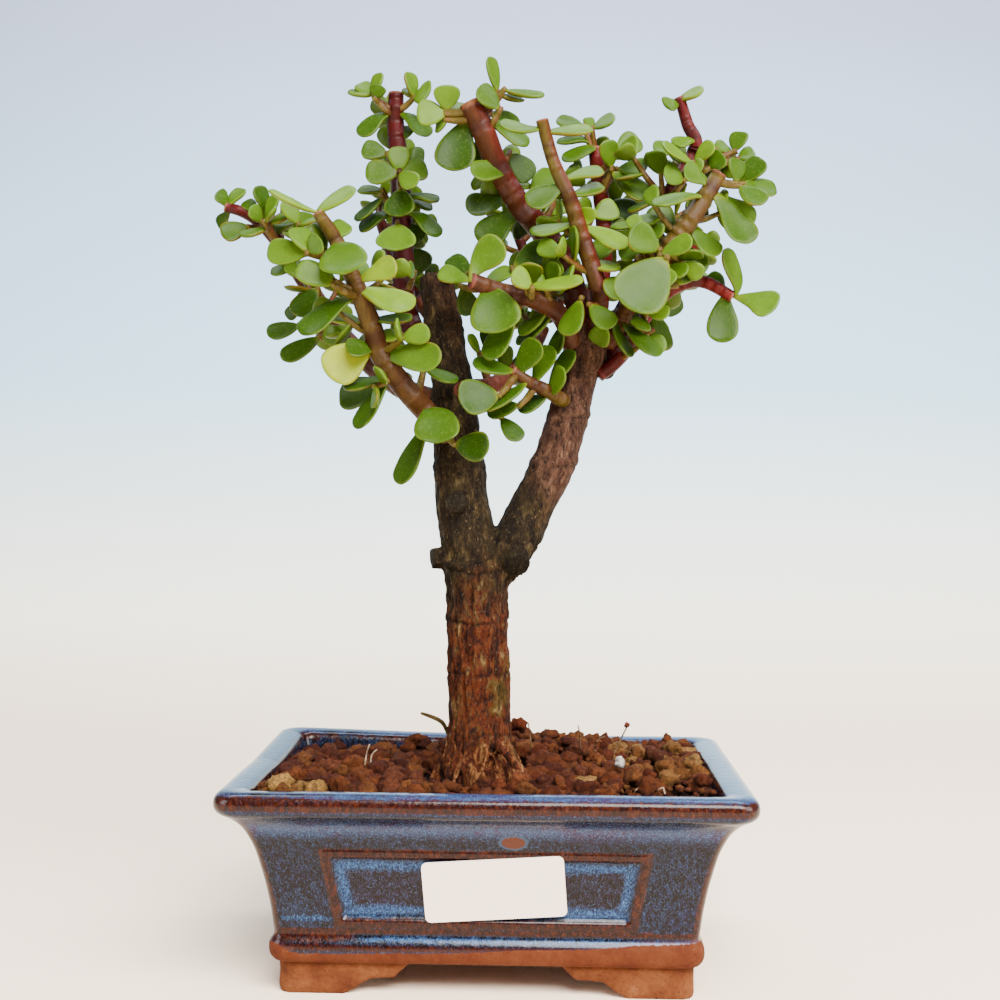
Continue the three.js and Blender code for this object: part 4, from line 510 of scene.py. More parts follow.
class Layout:
    """All the leaves and the stretches of stem, each kept clear of the rest."""

    def __init__(self):
        self.draw = Draw(LAYOUT_SEED)
        self.leaves = []
        self.stretches = [Stretch("trunk", None, *room) for room in TRUNK_ROOM]
        for node, (stem, _, _) in BRANCHES.items():
            for half in range((len(stem) - 1) * 2):
                start = along(stem, half / 2)
                end = along(stem, half / 2 + 0.5)
                radius = (start[3] + end[3]) / 2
                self.stretches.append(Stretch(node, None, start[:3], end[:3], radius))

    def settle(self, start, direction, facing, size, width):
        """Puts a leaf where it is clear, bending it a little if need be, or leaves it out."""
        side = cross(direction, facing)
        for tilt, roll, scale in BENDS:
            t = math.radians(tilt)
            r = math.radians(roll)
            axis = add(mul(direction, math.cos(t)), mul(facing, math.sin(t)))
            lifted = sub(mul(facing, math.cos(t)), mul(direction, math.sin(t)))
            face = add(mul(lifted, math.cos(r)), mul(side, math.sin(r)))
            leaf = Leaf(start, axis, face, size * scale, width * scale)
            if touches_stem(leaf, self.stretches):
                continue
            if not any(leaves_touch(leaf, other) for other in self.leaves):
                self.leaves.append(leaf)
                return True
        return False

    def place_by_hand(self, node, stem, row):
        """A leaf seen in the picture: its base, its tip, its width, its turn and its tone."""
        base, tip, (width, turn, shade) = row[:3], row[3:6], row[6:]
        places = [i / 8 for i in range((len(stem) - 1) * 8 + 1)]
        gap, at = min((length(sub(along(stem, place)[:3], base)), place) for place in places)
        spot = along(stem, at)
        twig = None
        foot = sub(spot[:3], mul(unit(sub(tip, base)), LEAF_ROOT))
        if gap > spot[3] + STALK:
            foot = None
            twig = f"{node} {base}"
            if not any(stretch.twig == twig for stretch in self.stretches):
                root = along(stem, max(0.6, at - min(0.35, gap / 22)))
                self.stretches.append(Stretch(node, twig, root[:3], base, 0.9 + 0.04 * gap))
        direction = unit(sub(tip, base))
        towards = unit(sub(FRONT, mul(direction, dot(FRONT, direction))))
        across = cross(direction, towards)
        upward = mul(across, -1) if across[2] < 0 else across
        angle = math.radians(turn)
        facing = add(mul(towards, math.cos(angle)), mul(upward, math.sin(angle)))
        start = (node, twig, True, base, foot, shade)
        self.settle(start, direction, facing, length(sub(tip, base)), width)

    def shoot_is_blocked(self, node, start, end):
        for leaf in self.leaves:
            for at, thick in leaf.spots:
                gap, share = to_stretch(at, start, end)
                if share > 0.05 and gap < TWIG_RADIUS + thick / 2 + CLEARANCE / 2:
                    return True
        for stretch in self.stretches:
            if stretch.node == node:
                continue
            for eighth in range(3, 9):
                gap = to_stretch(mix(start, end, eighth / 8), stretch.start, stretch.end)[0]
                if gap < stretch.radius + TWIG_RADIUS + 0.1 + CLEARANCE:
                    return True
        return False

    def grow(self, node, stem, row, index):
        """A shoot with pairs of leaves, each pair a quarter turn on from the last."""
        at, dx, dy, dz, pairs, leaf_length, turn = row
        draws = [self.draw.next() for _ in range(pairs * 4 + 1)]
        start = along(stem, at)[:3]
        tip = add(start, (dx, dy, dz))
        ends = (add(tip, shift) for shift in SHIFTS)
        end = next((end for end in ends if not self.shoot_is_blocked(node, start, end)), None)
        if end is None:
            return
        twig = f"{node} shoot {index}"
        stretch = Stretch(node, twig, start, end, TWIG_RADIUS)
        self.stretches.append(stretch)
        axis = unit(sub(end, start))
        reference = (0, 0, 1) if abs(axis[2]) < 0.9 else (1, 0, 0)
        across = unit(cross(axis, reference))
        upright = cross(across, axis)
        grown = 0
        for pair in range(pairs):
            base = mix(start, end, 1 - (pair * 0.62) / pairs - (0.04 if pair else 0))
            for half in range(2):
                first = draws[pair * 4 + half * 2]
                second = draws[pair * 4 + half * 2 + 1]
                angle = math.radians(turn + QUARTER * (pair + 2 * half) + (first - 0.5) * 24)
                opening = math.radians(PAIR_OPENINGS[pair] + (second - 0.5) * 16)
                growth = PAIR_SIZES[pair] * (0.88 + 0.24 * draws[-1]) * (0.94 + 0.12 * first)
                size = leaf_length * growth
                out = add(mul(across, math.cos(angle)), mul(upright, math.sin(angle)))
                direction = add(mul(axis, math.cos(opening)), mul(out, math.sin(opening)))
                facing = sub(mul(axis, math.sin(opening)), mul(out, math.cos(opening)))
                shade = 5.5 - 1.2 * pair + 1.5 * (second - 0.5)
                start_of_leaf = (node, twig, False, base, None, shade)
                if self.settle(start_of_leaf, direction, facing, size, size * LEAF_BREADTH):
                    grown += 1
        if not grown:
            self.stretches.remove(stretch)


print("ways to bend a leaf clear:", len(BENDS))

# %% The branches
# Each branch has its stem as (x, y, z, radius) points, the leaves that the picture shows, as base,
# tip, width, turn and tone, and its shoots, as place, reach, pairs, leaf length and turn.
BRANCHES = {}
BRANCHES["branch_left_low"] = (
    [(-17, -9, 203, 4), (-35, 0, 209, 4), (-56, 4, 227, 3.7), (-69, 5, 245, 3.2), (-83, 4, 265, 2.6),
     (-92, 3, 273, 2.2), (-101, 2, 276, 1.8)],
    [(-100, 2, 277, -104, 0, 281, 8, 48, 4), (-100, 2, 277, -95, 4, 284, 9, 45, 5),
     (-91, -2, 268, -101, -5, 264, 9, 15, 4), (-84, -4, 267, -92, -9, 261, 8.5, 50, 5),
     (-86, -4, 269, -90, -7, 274, 8, 50, 5), (-84, -5, 269, -81, -2, 280, 8, 45, 5),
     (-84, -8, 268, -79, -12, 273, 7.5, 70, 5), (-83, -5, 268, -74, -3, 273, 8, 55, 5),
     (-81, 0, 267, -78, 9, 272, 9, 30, 3), (-71, -6, 231, -83, -9, 227, 8, 25, 3),
     (-64, -3, 227, -78, -7, 218, 9, 25, 3), (-74, 2, 254, -84, 2, 251, 7.5, 50, 3),
     (-72, -2, 240, -77, 0, 234, 6, 20, 2), (-65, -4, 245, -73, -7, 234, 10, 15, 2),
     (-100, 4, 274, -105, 8, 270, 6, 20, 2), (-89, 0, 274, -94, 3, 279, 6, 20, 3),
     (-85, 2, 274, -91, 5, 282, 8, 30, 3)],
    [(0.9, -6, 12, 12, 2, 12, 20), (1.5, -8, -12, 10, 2, 12, 80), (2.3, -10, -8, 16, 3, 12, 10),
     (2.6, 4, 13, 13, 2, 12, 50), (3.4, 3, -12, 14, 3, 11, 30), (3.8, -2, 13, 12, 2, 11, 70),
     (4.5, 2, 12, 2, 2, 9, 60), (2.1, -4, 14, 2, 2, 12, 35)])
BRANCHES["branch_left_front"] = (
    [(-13, -14, 188, 3.9), (-20, -24, 195, 4), (-30, -30, 206, 4), (-38, -33, 217, 3.8),
     (-42, -34, 229, 3.6), (-48, -35, 244, 3), (-54, -36, 257, 2.6), (-60, -37, 266, 2.1)],
    [(-61, -37, 266, -77, -40, 273, 8, 72, 8), (-61, -37, 266, -47, -34, 275, 10, 48, 7),
     (-62, -42, 251, -77, -40, 252, 10, 10, 5), (-62, -44, 251, -67, -41, 260, 9, 40, 5),
     (-62, -44, 251, -57, -46, 255, 9, 20, 4), (-56, -37, 257, -50, -33, 263, 8.5, 20, 5),
     (-53, -44, 240, -66, -44, 246, 9.5, 20, 5), (-53, -40, 242, -67, -32, 250, 10, 60, 5),
     (-51, -38, 257, -49, -53, 244, 17.5, 0, 4), (-43, -36, 244, -32, -38, 248, 9.5, 15, 8),
     (-44, -34, 244, -48, -29, 250, 8, 35, 4), (-45, -36, 240, -26, -42, 232, 13, 42, 8),
     (-50, -36, 237, -65, -41, 223, 12, 38, 3), (-45, -32, 228, -57, -23, 232, 10, 60, 8),
     (-41, -33, 230, -27, -36, 229, 10, 62, 3), (-40, -34, 222, -33, -30, 225, 8, 40, 6),
     (-41, -35, 219, -50, -39, 219, 9, 35, 2), (-43, -33, 221, -56, -39, 210, 15.5, 5, 10),
     (-37, -34, 218, -16, -42, 215, 11.5, 12, 4), (-36, -31, 210, -51, -35, 205, 10, 60, 2),
     (-37, -30, 209, -46, -35, 191, 11, 48, 3), (-37, -26, 208, -55, -18, 203, 13, 25, 2),
     (-19, -30, 202, -18, -39, 186, 16.5, 0, 3), (-24, -24, 193, -32, -27, 172, 12, 45, 2),
     (-13, -26, 187, 0, -34, 185, 11.5, 8, 1), (-24, -24, 214, -12, -29, 208, 8, 55, 2),
     (-32, -25, 225, -25, -21, 223, 8, 45, 5)],
    [(3.6, -12, 5, 6, 2, 12, 20), (4.6, 8, 8, 8, 2, 11, 10), (4.9, -12, -3, 4, 2, 11, 65),
     (3.1, 8, -7, 4, 1, 11, 0), (5.6, -9, 7, 3, 2, 10, 30), (2.4, -10, -2, -7, 2, 12, 60)])
BRANCHES["branch_left_upright"] = (
    [(-19, -5, 217, 3.9), (-28, 3, 226, 4.3), (-34, 6, 240, 4.4), (-35, 7, 261, 4.1), (-36, 8, 287, 3.7),
     (-38, 8, 306, 3.3), (-38, 8, 320, 2.9)],
    [(-42, 6, 313, -51, 3, 302, 8.5, 25, 3), (-35, 6, 313, -25, 3, 302, 8.5, 35, 3),
     (-46, 4, 318, -56, 4, 319, 7, 60, 5), (-46, 4, 318, -52, 7, 323, 8, 35, 5),
     (-46, 4, 318, -44, 6, 327, 6.5, 40, 5), (-45, 2, 316, -43, 2, 321, 7, 20, 4),
     (-31, 4, 317, -34, 9, 322, 6, 20, 4), (-31, 4, 317, -33, 5, 327, 7.5, 50, 5),
     (-31, 4, 317, -24, -1, 318, 12, 35, 5), (-40, 0, 295, -50, 0, 297, 9, 20, 3),
     (-34, 2, 296, -27, 5, 294, 9, 20, 3), (-35, -5, 287, -36, -4, 297, 8.5, 10, 5),
     (-35, -5, 287, -48, -5, 287, 10.5, 15, 4), (-35, -5, 287, -25, -2, 289, 10.5, 20, 4),
     (-35, -6, 287, -28, -14, 280, 8, 0, 5), (-42, 3, 282, -52, 6, 283, 8, 55, 3),
     (-35, -2, 282, -35, -7, 270, 12, 5, 1), (-31, 3, 281, -21, 3, 278, 9, 60, 4),
     (-42, 3, 280, -52, 1, 270, 9, 55, 2), (-40, 2, 275, -51, 4, 267, 10, 50, 1),
     (-31, 2, 276, -21, 0, 264, 9.5, 45, 3), (-36, -2, 269, -36, -10, 257, 15.5, 0, 5),
     (-32, 8, 262, -28, 16, 254, 11, 20, 1), (-30, 0, 251, -32, -6, 252, 7, 30, 5),
     (-32, 4, 270, -29, 8, 264, 8, 20, 1), (-32, 6, 279, -24, 10, 277, 6, 45, 3),
     (-35, 6, 302, -34, 10, 308, 7, 10, 1)],
    [(1.6, -7, 12, 8, 2, 12, 20), (2.4, 3, 13, 6, 2, 12, 70), (3.2, 3, 14, 7, 2, 12, 0),
     (3.9, -6, 12, 7, 2, 11, 45), (4.5, -2, 13, 4, 2, 11, 20), (5.2, -3, 10, 5, 2, 10, 60)])
BRANCHES["branch_left_back"] = (
    [(-19, -3, 228, 3), (-24, 13, 236, 3), (-33, 26, 248, 2.8), (-42, 34, 264, 2.4), (-48, 38, 280, 2)],
    [],
    [(1.3, -10, 6, 4, 2, 12, 20), (1.8, 8, 10, 6, 2, 12, 0), (2.2, -5, 9, 7, 2, 12, 50),
     (2.7, 0, 13, 3, 2, 12, 30), (3.1, 2, 12, 4, 2, 11, 80), (3.4, 8, 6, 10, 2, 11, 10),
     (4, 3, 4, 6, 3, 10, 30), (3.7, 4, 12, 2, 2, 11, 0)])
BRANCHES["branch_cross"] = (
    [(-13, -12, 205, 3.2), (-9, -20, 207, 3.2), (-1, -17, 208, 3.2), (8, -11, 214, 2.8), (14, -4, 222, 2.5),
     (18, 2, 231, 2.2)],
    [(3, -18, 197, 10, -22, 188, 8, 30, 2), (-5, -12, 220, -11, -9, 225, 6, 45, 5)],
    [(2.4, 3, 8, 6, 2, 11, 10), (3.2, 2, 9, 4, 2, 11, 40), (4.6, -6, 3, 8, 2, 11, 0)])
BRANCHES["branch_crown_tall"] = (
    [(31, -5, 228, 4.2), (30, -8, 238, 4.3), (27, -8, 250, 4.5), (19, -8, 263, 4.6), (9, -12, 274, 4.3),
     (1, -15, 287, 4.1), (-4, -17, 299, 4.2), (-9, -18, 309, 3.9)],
    [(-17, -18, 305, -28, -19, 305, 10.5, 10, 6), (-17, -18, 306, -17, -20, 315, 10, 10, 5),
     (-16, -16, 306, -13, -10, 311, 8, 20, 4), (-17, -18, 303, -21, -14, 301, 8, 40, 4),
     (-12, -14, 303, -15, -18, 284, 15.5, 5, 2), (-7, -14, 297, -6, -8, 290, 8, 30, 2),
     (6, -16, 286, -9, -20, 282, 9.5, 20, 5), (1, -16, 313, -2, -17, 326, 7, 50, 5),
     (3, -16, 314, 18, -18, 311, 8, 58, 5), (2, -16, 312, 10, -10, 312, 7, 60, 4),
     (2, -20, 306, -6, -23, 313, 9.5, 30, 4), (-2, -14, 305, 12, -14, 294, 10, 45, 4),
     (-2, -12, 307, 9, -2, 303, 11, 30, 3), (5, -10, 293, 13, -6, 284, 11, 25, 2),
     (3, -8, 275, -11, -10, 274, 9.5, 10, 1), (7, -8, 272, -6, -11, 261, 13, 15, 2),
     (8, -6, 270, 10, 2, 265, 8, 20, 1), (13, -4, 280, 22, 1, 289, 11, 30, 5),
     (18, -2, 272, 27, 3, 277, 11, 45, 8)],
    [(1.4, -12, 6, 2, 2, 12, 30), (2.2, -10, 10, 0, 2, 13, 0), (3, -6, 14, 8, 2, 12, 60),
     (3.3, 6, 8, 12, 2, 12, 30), (4.2, -4, 13, 9, 2, 12, 20), (4.7, 3, 12, -4, 2, 12, 70),
     (5.3, -1, 12, -5, 2, 12, 0), (5.6, 4, 12, -2, 2, 11, 40)])
BRANCHES["branch_crown_front"] = (
    [(36, -11, 229, 3.2), (38, -19, 238, 3.3), (35, -25, 249, 3.2), (31, -27, 260, 3), (27, -29, 272, 2.7),
     (21, -31, 285, 2.3), (17, -32, 299, 2.2)],
    [(15, -32, 295, 2, -34, 297, 9, 52, 5), (19, -32, 295, 35, -30, 296, 9, 52, 6),
     (24, -29, 277, 12, -34, 269, 9.5, 15, 3), (27, -27, 281, 39, -24, 283, 9, 50, 5),
     (28, -26, 274, 39, -23, 278, 9, 50, 5), (27, -25, 264, 13, -29, 260, 8.5, 50, 5),
     (33, -25, 264, 34, -27, 270, 7, 25, 7), (33, -24, 264, 47, -29, 255, 9.5, 35, 8),
     (35, -20, 268, 44, -17, 272, 9, 10, 6), (30, -22, 252, 45, -26, 248, 9, 56, 8),
     (34, -27, 236, 42, -31, 227, 9, 22, 4), (36, -16, 253, 41, -12, 261, 9, 20, 5),
     (40, -20, 230, 37, -16, 223, 9, 20, 4)],
    [(1.8, -11, -5, 6, 2, 11, 10), (2.7, -9, 5, 9, 2, 11, 60), (3.6, 9, 4, 8, 2, 11, 20)])
BRANCHES["branch_crown_back"] = (
    [(33, 3, 229, 3.2), (35, 12, 240, 3.2), (40, 18, 254, 3.3), (41, 21, 270, 3.3), (39, 22, 288, 3.1),
     (37, 24, 303, 2.6)],
    [(33, 22, 311, 22, 24, 314, 8, 40, 4), (36, 22, 310, 34, 25, 315, 5, 20, 5),
     (36, 22, 307, 22, 24, 305, 9, 60, 3), (39, 20, 304, 24, 16, 299, 9.5, 35, 4),
     (36, 22, 310, 45, 20, 314, 9, 48, 5), (43, 14, 293, 41, 10, 303, 8.5, 20, 5),
     (45, 18, 300, 54, 21, 306, 10.5, 10, 5), (45, 16, 293, 57, 12, 293, 10, 35, 4),
     (43, 14, 292, 58, 9, 282, 12, 35, 5), (40, 16, 279, 54, 19, 277, 12, 30, 2)],
    [(1.5, -10, 8, 4, 2, 12, 10), (2.2, 8, 12, 4, 2, 12, 60), (2.8, -10, 8, 8, 2, 12, 30),
     (3.4, 7, 12, 7, 2, 12, 0), (3.8, -9, 7, 7, 2, 11, 70), (4.4, 5, 10, 6, 2, 11, 20)])
BRANCHES["branch_right_tall"] = (
    [(40, 1, 228, 3), (48, 6, 240, 2.9), (56, 8, 262, 2.7), (64, 8, 282, 2.5), (74, 8, 299, 2.5),
     (71, 8, 308, 2.3), (68, 8, 318, 2)],
    [(67, 8, 317, 77, 5, 320, 7.5, 48, 6), (67, 8, 316, 62, 5, 314, 8, 25, 4),
     (73, 6, 302, 65, 3, 299, 7.5, 40, 5), (68, 6, 298, 58, 3, 299, 9, 40, 4),
     (61, 4, 288, 62, 2, 298, 10, 50, 3), (62, 10, 295, 55, 10, 294, 9, 40, 3),
     (72, -2, 291, 60, -7, 297, 8, 50, 7), (73, 2, 292, 80, -1, 299, 8, 40, 7),
     (69, 0, 285, 61, -4, 288, 10, 25, 5), (69, 0, 285, 76, -3, 292, 8, 50, 6),
     (81, 6, 298, 86, 9, 300, 8, 30, 5), (88, 5, 297, 91, 7, 305, 8, 30, 3),
     (89, 4, 294, 95, 2, 297, 10, 35, 4), (78, 2, 290, 83, -1, 295, 10, 30, 4),
     (59, 8, 280, 48, 8, 277, 7, 50, 4)],
    [(1.3, 10, 6, 4, 2, 12, 20), (1.9, -6, 12, 8, 2, 12, 60), (2.4, 12, 2, 6, 2, 12, 0),
     (2.9, -9, -4, 12, 2, 12, 30), (3.2, 11, 9, 4, 2, 11, 80), (3.6, -2, 13, 1, 2, 11, 10),
     (4, 13, 5, 1, 3, 11, 40), (4.1, 9, 3, -7, 2, 11, 0)])
BRANCHES["branch_right_front"] = (
    [(41, -6, 224, 3), (49, -13, 238, 3.3), (57, -20, 249, 3.6), (64, -24, 259, 3.7), (73, -25, 272, 3.2),
     (79, -26, 282, 2.7)],
    [(72, -29, 275, 55, -33, 269, 9.5, 55, 5), (73, -27, 279, 66, -30, 283, 9.5, 30, 4),
     (80, -25, 273, 89, -31, 256, 12.5, 22, 3), (80, -22, 274, 93, -18, 267, 10, 35, 5),
     (86, -24, 278, 94, -30, 270, 9.5, 25, 4), (87, -23, 279, 100, -20, 277, 9.5, 50, 4),
     (85, -24, 279, 85, -23, 288, 9, 40, 4), (87, -20, 280, 96, -16, 286, 9.5, 30, 3),
     (58, -32, 254, 47, -36, 260, 11.5, 10, 4), (58, -33, 252, 69, -37, 257, 8, 28, 5),
     (70, -22, 263, 79, -25, 253, 9.5, 30, 4), (64, -20, 262, 56, -18, 272, 11, 15, 5),
     (60, -36, 251, 46, -42, 232, 20, 5, 3), (56, -18, 267, 41, -20, 266, 7, 60, 5),
     (52, -26, 255, 44, -28, 254, 9, 20, 4), (51, -28, 252, 40, -32, 249, 8, 42, 5),
     (64, -24, 243, 72, -22, 257, 14.5, 10, 4), (47, -16, 230, 59, -22, 218, 9.5, 44, 4),
     (42, -14, 232, 49, -18, 218, 8.5, 58, 3)],
    [(1.5, 6, -10, 4, 2, 11, 20), (2.1, -6, -9, 10, 2, 11, 60), (2.6, 5, -6, -6, 2, 11, 10),
     (3.1, -8, -2, 10, 2, 11, 30), (3.5, 11, 6, 4, 2, 11, 70), (1.3, -3, -10, 6, 2, 12, 30),
     (1.8, 2, -12, 2, 2, 12, 75)])
BRANCHES["branch_right_low"] = (
    [(38, -5, 213, 2.6), (47, -4, 221, 2.6), (59, -7, 240, 2.5), (73, -9, 247, 2.4), (86, -10, 241, 2.1)],
    [(90, -10, 241, 82, -14, 258, 9.5, 42, 5), (91, -10, 241, 101, -15, 236, 13, 22, 5),
     (83, -8, 242, 82, -11, 224, 12, 5, 2), (84, -6, 246, 77, -2, 249, 9, 30, 4)],
    [(1.5, 2, -10, 4, 2, 11, 20), (2.2, -4, 9, 5, 2, 10, 60), (2.6, -2, 10, 2, 2, 10, 0),
     (0.9, 6, -8, 3, 1, 12, 0)])
BRANCHES["branch_middle_front"] = (
    [(28, -9, 224, 3.5), (24, -18, 233, 3.5), (14, -25, 238, 3.4), (3, -29, 240, 3.2), (-7, -34, 243, 2.8)],
    [(-8, -30, 247, 4, -33, 257, 12.5, 12, 5), (-9, -30, 244, -19, -28, 247, 8, 26, 6),
     (-1, -32, 242, 3, -38, 224, 18.5, 0, 4), (8, -27, 235, -1, -33, 215, 10.5, 30, 3),
     (12, -34, 241, 32, -39, 242, 10, 55, 8), (14, -38, 240, 7, -41, 245, 9, 30, 7),
     (13, -28, 243, 13, -38, 249, 10, 0, 4), (7, -22, 249, 22, -16, 257, 14.5, 25, 2),
     (-3, -24, 243, 7, -18, 250, 9, 45, 5), (18, -22, 245, 24, -25, 252, 10, 15, 4),
     (-11, -22, 243, -8, -18, 233, 8.5, 15, 2), (2, -16, 228, -5, -12, 224, 9, 20, 1),
     (19, -22, 233, 9, -20, 226, 7, 45, 4), (20, -20, 231, 8, -16, 223, 7, 50, 3),
     (-8, -22, 247, -16, -16, 254, 8.5, 20, 1), (31, -26, 238, 26, -30, 224, 9.5, 30, 4),
     (25, -14, 231, 21, -18, 218, 6.5, 30, 3)],
    [(1.3, -3, -8, 8, 2, 11, 30), (2.2, -2, 8, 8, 2, 11, 10), (3.3, 3, 9, 1, 2, 10, 20)])
BRANCHES["branch_right_back"] = (
    [(40, 1, 219, 3), (50, 10, 229, 3), (59, 17, 244, 2.8), (68, 21, 257, 2.6), (78, 28, 268, 2.2)],
    [(60, 14, 239, 63, 8, 223, 9.5, 25, 3), (58, 6, 231, 48, 10, 240, 8, 30, 2),
     (64, 16, 249, 68, 20, 238, 10, 25, 1)],
    [(1.3, 3, 8, 7, 2, 12, 20), (1.8, -7, 9, 4, 2, 12, 60), (2.4, 3, 8, 8, 2, 12, 0),
     (2.8, -3, 13, 6, 2, 12, 40), (3.2, 8, 8, 5, 2, 11, 10), (4, 0, 10, 2, 3, 11, 70),
     (1.5, 2, 12, -2, 2, 12, 30), (1.1, 4, -2, 10, 2, 12, 0)])
BRANCHES["branch_fork"] = (
    [(26, -10, 203, 2.8), (20, -18, 206, 2.6), (13, -23, 209, 2.3), (7, -26, 213, 1.8)],
    [(8, -24, 212, 17, -28, 223, 10.5, 25, 3), (15, -22, 210, 21, -22, 222, 9.5, 30, 3),
     (20, -17, 208, 27, -20, 222, 9.5, 35, 3), (20, -18, 204, 27, -23, 214, 8.5, 40, 4),
     (13, -27, 208, -4, -30, 198, 8.5, 52, 3), (10, -24, 201, -2, -22, 198, 8, 30, 2),
     (20, -18, 205, 9, -18, 199, 8, 40, 1), (8, -28, 212, -7, -30, 215, 9.5, 50, 3),
     (10, -19, 209, 1, -13, 213, 11, 10, 1), (3, -30, 204, -12, -34, 201, 14, 15, 2)],
    [])
BRANCHES["branch_back_left"] = (
    [(29, 3, 222, 2.9), (27, 19, 232, 2.8), (21, 32, 247, 2.5), (12, 40, 262, 2.2), (6, 44, 276, 1.9)],
    [],
    [(1.4, -10, 6, 2, 2, 12, 20), (1.9, 8, 12, 2, 2, 12, 60), (2.3, -4, 12, 4, 2, 12, 0),
     (2.8, 6, 12, 6, 2, 12, 30), (3.2, -12, 3, 6, 2, 11, 80), (3.5, 9, 5, 9, 2, 11, 10),
     (4, -3, 4, 10, 3, 11, 45)])
BRANCHES["branch_back_right"] = (
    [(35, 4, 215, 2.8), (44, 22, 224, 2.7), (58, 36, 238, 2.5), (66, 46, 254, 2.1)],
    [],
    [(1.2, 2, 12, 8, 2, 12, 20), (1.6, -9, 9, -1, 2, 12, 60), (2, 6, 12, 6, 2, 12, 0),
     (2.5, -4, 3, 12, 2, 12, 30), (3, 7, 8, 10, 3, 11, 70), (2.4, 12, -6, 10, 2, 11, 40)])
# Room that the trunk takes in the layout: start, end and radius of each stretch
TRUNK_ROOM = [
    ((-3, -20, 64), (-4, -18, 90), 13),
    ((-4, -18, 90), (-5, -16, 145), 11.5),
    ((-5, -16, 140), (-11, -15, 160), 10.5),
    ((-11, -15, 160), (-12, -13, 178), 10),
    ((-12, -13, 178), (-14, -11, 203), 8.5),
    ((-14, -11, 203), (-17, -9, 225), 7.3),
    ((-17, -9, 225), (-21, -7, 249), 6.8),
    ((0, -16, 148), (10, -14, 160), 8.5),
    ((10, -14, 160), (22, -10, 180), 8),
    ((22, -10, 180), (28, -6, 199), 8),
    ((28, -6, 199), (32, -3, 215), 7.6),
    ((32, -3, 215), (33, -3, 228), 8.6),
]
print(len(BRANCHES), "branches")


# %% Grow the layout
layout = Layout()
for name, (stem, leaves, _) in BRANCHES.items():
    for row in leaves:
        layout.place_by_hand(name, stem, row)
for name, (stem, _, shoots) in BRANCHES.items():
    for index, row in enumerate(shoots):
        layout.grow(name, stem, row, index)
print(len(layout.leaves), "leaves on", sum(s.twig is not None for s in layout.stretches), "twigs")

# %% [markdown]
# ## The glazed pot
#
# A potter presses such a tray in a mould: flared walls under a rolled rim, with a framed field
# sunk in each wall. The wall is made here by extruding one closed ring of edges again and again,
# and giving each new ring its height, its inset and its corner radius. The frame round each
# field is then raised by moving the points of the wall outwards. A few numbers are kept on each
# point, because they drive the colour of the glaze: where it runs thin over an edge, it fires
# rusty brown, and where it pools in a hollow, it fires bright blue. Two more paint light into the
# colour: painted shade under the lip, inside the rim and on the rim top, most at the left, and a
# pale painted reflection at the right end of the rim.

# %% The rings of the pot's wall
pot_low, pot_high = (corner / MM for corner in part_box("pot"))
HALF_LENGTH = (pot_high.x - pot_low.x) / 2
HALF_DEPTH = (pot_high.y - pot_low.y) / 2
POT_HEIGHT = pot_high.z
RIM_WIDTH = 11
FLOOR_TOP = 18
FOOT_HEIGHT = 11
# Outline of the wall, from under the band, over the rim and down inside: height, inset, radius
WALL_OUTLINE = [
    (10.8, 22, 5), (10.9, 18.6, 5.5), (11.8, 17.2, 6), (13.5, 16.4, 6), (16, 16.2, 6), (18, 16.6, 5.5),
    (19.4, 17.6, 4.5), (20.6, 18, 4), (24, 17.6, 4), (30, 16.8, 4), (38, 15.3, 4), (45, 13.6, 4),
    (50, 12.2, 4), (54, 10.6, 4), (57.5, 8.7, 4.5), (60.2, 6.4, 5), (62, 4, 6), (63, 2, 7.5),
    (64, 0.8, 8), (65.4, 0.15, 8), (67, 0, 8), (68.6, 0.25, 8), (69.8, 1, 8), (70.7, 2.4, 7.5),
    (71, 4.2, 7), (70.9, 6.5, 6), (70.6, 8.6, 5), (70, 10, 4.5), (68.6, 11, 4), (66, 11.6, 4),
    (60, 13.2, 4), (38, 23.3, 4), (18, 26.5, 4), (12, 27, 4)]
BAND_RINGS = 7
UNSEEN_RINGS = 3
RING_STEP = 0.85
UNSEEN_STEP = 6
LONG_POINTS = 150
SHORT_POINTS = 104
CORNER_POINTS = 9


def ring_turns():
    """One number for each point of a ring: its piece, from 0 to 7, and its share of it."""
    turns = []
    for piece in range(8):
        count = CORNER_POINTS if piece % 2 else (LONG_POINTS if piece % 4 == 0 else SHORT_POINTS)
        turns += [piece + i / count for i in range(count)]
    return turns


def ring_point(turn, z, inset, radius):
    """A point of the rounded rectangle. Even pieces are straight, odd ones are corners."""
    piece, share = int(turn), turn % 1
    x, y = HALF_LENGTH - inset - radius, HALF_DEPTH - inset - radius
    ends = [((-x, -y), (x, -y)), ((x, -y), (x, y)), ((x, y), (-x, y)), ((-x, y), (-x, -y))]
    (ax, ay), (bx, by) = ends[piece // 2]
    heading = math.radians(-90 + 90 * (piece // 2))
    if piece % 2:
        heading += share * math.pi / 2
        return Vector((bx + radius * math.cos(heading), by + radius * math.sin(heading), z))
    return Vector((ax + (bx - ax) * share + radius * math.cos(heading),
                   ay + (by - ay) * share + radius * math.sin(heading), z))


def outline_rings():
    """The wall's outline with extra rings, so that they lie about a millimetre apart."""
    rings = []
    for i in range(len(WALL_OUTLINE) - 1):
        a, b = WALL_OUTLINE[i], WALL_OUTLINE[i + 1]
        far = math.hypot(b[0] - a[0], b[1] - a[1])
        unseen = i >= len(WALL_OUTLINE) - 1 - UNSEEN_RINGS
        steps = max(1, round(far / (UNSEEN_STEP if unseen else RING_STEP)))
        rings += [along(WALL_OUTLINE, i + k / steps) for k in range(steps)]
    return rings + [WALL_OUTLINE[-1]]


RINGS = outline_rings()
print(len(ring_turns()), "points in a ring,", len(RINGS), "rings")

# %% The framed field in each wall
PANEL_TOP = 50.5
PANEL_BOTTOM = 23.5
PANEL_TAPER = 5
PANEL_MARGIN = 23
FRAME_WIDTH = 3
FRAME_RISE = 0.9
FIELD_DEPTH = 0.9


